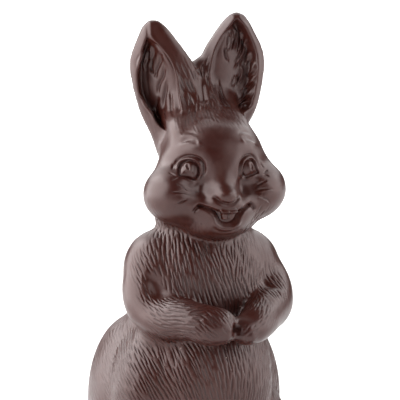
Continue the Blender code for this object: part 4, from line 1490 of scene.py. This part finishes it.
class ChocolateSettings(bpy.types.PropertyGroup):
    colour: bpy.props.FloatVectorProperty(
        name="Chocolate", description="Colour of the moulded skin", subtype="COLOR", size=3, min=0, max=1,
        default=(0.027, 0.0054, 0.0038))
    red_colour: bpy.props.FloatVectorProperty(
        name="Warm patches", description="Colour of the skin's warmer patches",
        subtype="COLOR", size=3, min=0, max=1,
        default=(0.032, 0.0058, 0.0030))
    # Painted shade: the darker, redder colour painted into the fur's grooves.
    painted_groove_shade: bpy.props.FloatVectorProperty(
        name="Grooves", description="Colour deep in the fur", subtype="COLOR", size=3, min=0, max=1,
        default=(0.020, 0.0035, 0.0018))
    # The bloom's colour and amount: real faint patches, which the material keeps off the grooves, so they
    # also paint the ridges paler as a painted highlight.
    bloom_colour: bpy.props.FloatVectorProperty(
        name="Bloom", description="Colour of the faint pale bloom", subtype="COLOR", size=3, min=0, max=1,
        default=(0.16, 0.09, 0.075))
    bloom_and_ridge_highlight: bpy.props.FloatProperty(
        name="Bloom amount", description="How strongly the bloom shows",
        subtype="FACTOR", default=0.08, min=0, max=1)
    sheen_colour: bpy.props.FloatVectorProperty(
        name="Sheen", description="Tint of the light that the skin reflects",
        subtype="COLOR", size=3, min=0, max=1,
        default=(1.0, 0.87, 0.86))
    crumb_colour: bpy.props.FloatVectorProperty(
        name="Crumbs", description="Colour of the crumbs", subtype="COLOR", size=3, min=0, max=1,
        default=(0.55, 0.42, 0.36))
    roughness: bpy.props.FloatProperty(
        name="Roughness", description="Roughness of the smooth skin",
        subtype="FACTOR", default=0.35, min=0, max=1)


class CrumbSettings(bpy.types.PropertyGroup):
    density: bpy.props.FloatProperty(
        name="Density", description="Crumbs per square metre of the front", default=3500.0, min=0.0)
    size: bpy.props.FloatProperty(
        name="Size", description="Radius of the largest crumb",
        subtype="DISTANCE", unit="LENGTH", default=0.0005)
    seed: bpy.props.IntProperty(name="Seed", description="Another seed drops the crumbs elsewhere", default=3)


class StageSettings(bpy.types.PropertyGroup):
    azimuth: bpy.props.FloatProperty(
        name="Azimuth", description="Where the camera stands round the bunny",
        subtype="ANGLE", unit="ROTATION",
        default=math.radians(-20))
    elevation: bpy.props.FloatProperty(
        name="Elevation", description="How high the camera looks from", subtype="ANGLE", unit="ROTATION",
        default=math.radians(6))
    distance: bpy.props.FloatProperty(
        name="Distance", description="From the camera to the bunny",
        subtype="DISTANCE", unit="LENGTH", default=1.2)
    view_width: bpy.props.FloatProperty(
        name="View width", description="Width of what the camera sees at the bunny",
        subtype="DISTANCE", unit="LENGTH",
        default=0.1876)
    floor_colour: bpy.props.FloatVectorProperty(
        name="Floor", description="Colour of the floor", subtype="COLOR", size=3, min=0, max=1,
        default=(0.86, 0.86, 0.86))
    left_light: bpy.props.FloatProperty(
        name="Left light", description="Brightness of the left softbox",
        default=5.6)
    right_light: bpy.props.FloatProperty(
        name="Right light", description="Brightness of the right softbox",
        default=3.4)
    back_light: bpy.props.FloatProperty(
        name="Back light", description="Brightness above the far floor",
        default=2.2)
    sky: bpy.props.FloatProperty(name="Sky", description="Brightness of the studio's air", default=0.03)


class CHOCOLATE_BUNNY_OT_mould_skin(bpy.types.Operator):
    """Moulds the bunny's whole skin and cuts its face, ears and fur."""

    bl_idname = "chocolate_bunny.mould_skin"
    bl_label = "Mould the bunny"

    def execute(self, context):
        scene = context.scene
        whole = fuse([*body_masses(), *haunch_masses(), *arm_masses(), *head_masses()], VOXEL)
        skin = Skin(whole)
        sculpt_form(skin)
        plain = whole.data.copy()
        refine(whole, REFINED)
        skin = Skin(whole)
        sculpt_details(skin, scene.bunny_mould.deeper_ears)
        groove = cut_fur(skin, plain, scene.bunny_fur)
        lean_head(skin)
        settle(skin)
        skin.store()
        keep_groove(whole.data, groove)
        whole = thinned(whole, scene.bunny_mould.triangles)
        flatten_base(whole)
        whole.data.shade_smooth()
        chocolate = moulded_chocolate(scene.bunny_chocolate)
        for piece in split(whole):
            piece.data.materials.clear()
            piece.data.materials.append(chocolate)
            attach(piece, "root")
            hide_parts(NODE)
        return {"FINISHED"}


class CHOCOLATE_BUNNY_OT_drop_crumbs(bpy.types.Operator):
    """Drops a few crumbs on the front of the belly and the paws."""

    bl_idname = "chocolate_bunny.drop_crumbs"
    bl_label = "Drop the crumbs"

    def execute(self, context):
        scene = context.scene
        tree, inputs = crumb_tree(pale_crumb(scene.bunny_chocolate))
        crumbs = crumb_ground([bpy.data.objects[name] for name in ("bunny_chest", "bunny_lap")])
        crumbs.name = "crumbs"
        nodes = crumbs.modifiers.new("crumbs", "NODES")
        nodes.node_group = tree
        nodes[inputs["Crumbs per square metre"]] = scene.bunny_crumbs.density
        nodes[inputs["Size"]] = scene.bunny_crumbs.size
        nodes[inputs["Seed"]] = scene.bunny_crumbs.seed
        mesh = evaluated_mesh(crumbs)
        crumbs.modifiers.clear()
        crumbs.data = mesh
        if not mesh.polygons:
            raise RuntimeError("no crumb fell on the bunny")
        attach(crumbs, "root")
        return {"FINISHED"}


class CHOCOLATE_BUNNY_OT_set_stage(bpy.types.Operator):
    """Lays the floor and sets the lights and the camera."""

    bl_idname = "chocolate_bunny.set_stage"
    bl_label = "Set the stage"

    def execute(self, context):
        stage = context.scene.bunny_stage
        build_floor(matt_floor(stage))
        build_backdrop(pale_paper())
        target = Vector(VIEW_TARGET) * UNIT
        softbox("left_softbox", LEFT_SOFTBOX, stage.left_light, target)
        softbox("right_softbox", RIGHT_SOFTBOX, stage.right_light, target)
        soft_light("back_light", BACK_SIZE, stage.back_light).location = BACK_PLACE
        world = bpy.data.worlds.new("studio")
        world.use_nodes = True
        sky = world.node_tree.nodes["Background"]
        sky.inputs["Color"].default_value = (1, 1, 1, 1)
        sky.inputs["Strength"].default_value = stage.sky
        context.scene.world = world
        context.scene.view_settings.view_transform = "Standard"
        build_camera(stage, target)
        return {"FINISHED"}


class CHOCOLATE_BUNNY_PT_tools(bpy.types.Panel):
    """Lists the bunny's steps and settings."""

    bl_idname = "CHOCOLATE_BUNNY_PT_tools"
    bl_label = "Chocolate Bunny"
    bl_space_type = "VIEW_3D"
    bl_region_type = "UI"
    bl_category = "Chocolate Bunny"

    def draw(self, context):
        for operator in OPERATORS:
            self.layout.operator(operator.bl_idname)
        for name, group in SETTINGS.items():
            box = self.layout.box()
            for field in group.__annotations__:
                box.prop(getattr(context.scene, name), field)


SETTINGS = {
    "bunny_mould": MouldSettings,
    "bunny_fur": FurSettings,
    "bunny_chocolate": ChocolateSettings,
    "bunny_crumbs": CrumbSettings,
    "bunny_stage": StageSettings,
}
OPERATORS = (CHOCOLATE_BUNNY_OT_mould_skin, CHOCOLATE_BUNNY_OT_drop_crumbs, CHOCOLATE_BUNNY_OT_set_stage)
CLASSES = (*SETTINGS.values(), *OPERATORS, CHOCOLATE_BUNNY_PT_tools)


def register():
    for cls in CLASSES:
        bpy.utils.register_class(cls)
    for name, group in SETTINGS.items():
        setattr(bpy.types.Scene, name, bpy.props.PointerProperty(type=group))


def unregister():
    for name in SETTINGS:
        delattr(bpy.types.Scene, name)
    for cls in reversed(CLASSES):
        bpy.utils.unregister_class(cls)


def main():
    register()
    bpy.ops.chocolate_bunny.mould_skin()
    bpy.ops.chocolate_bunny.drop_crumbs()
    bpy.ops.chocolate_bunny.set_stage()


if __name__ == "__main__":
    main()
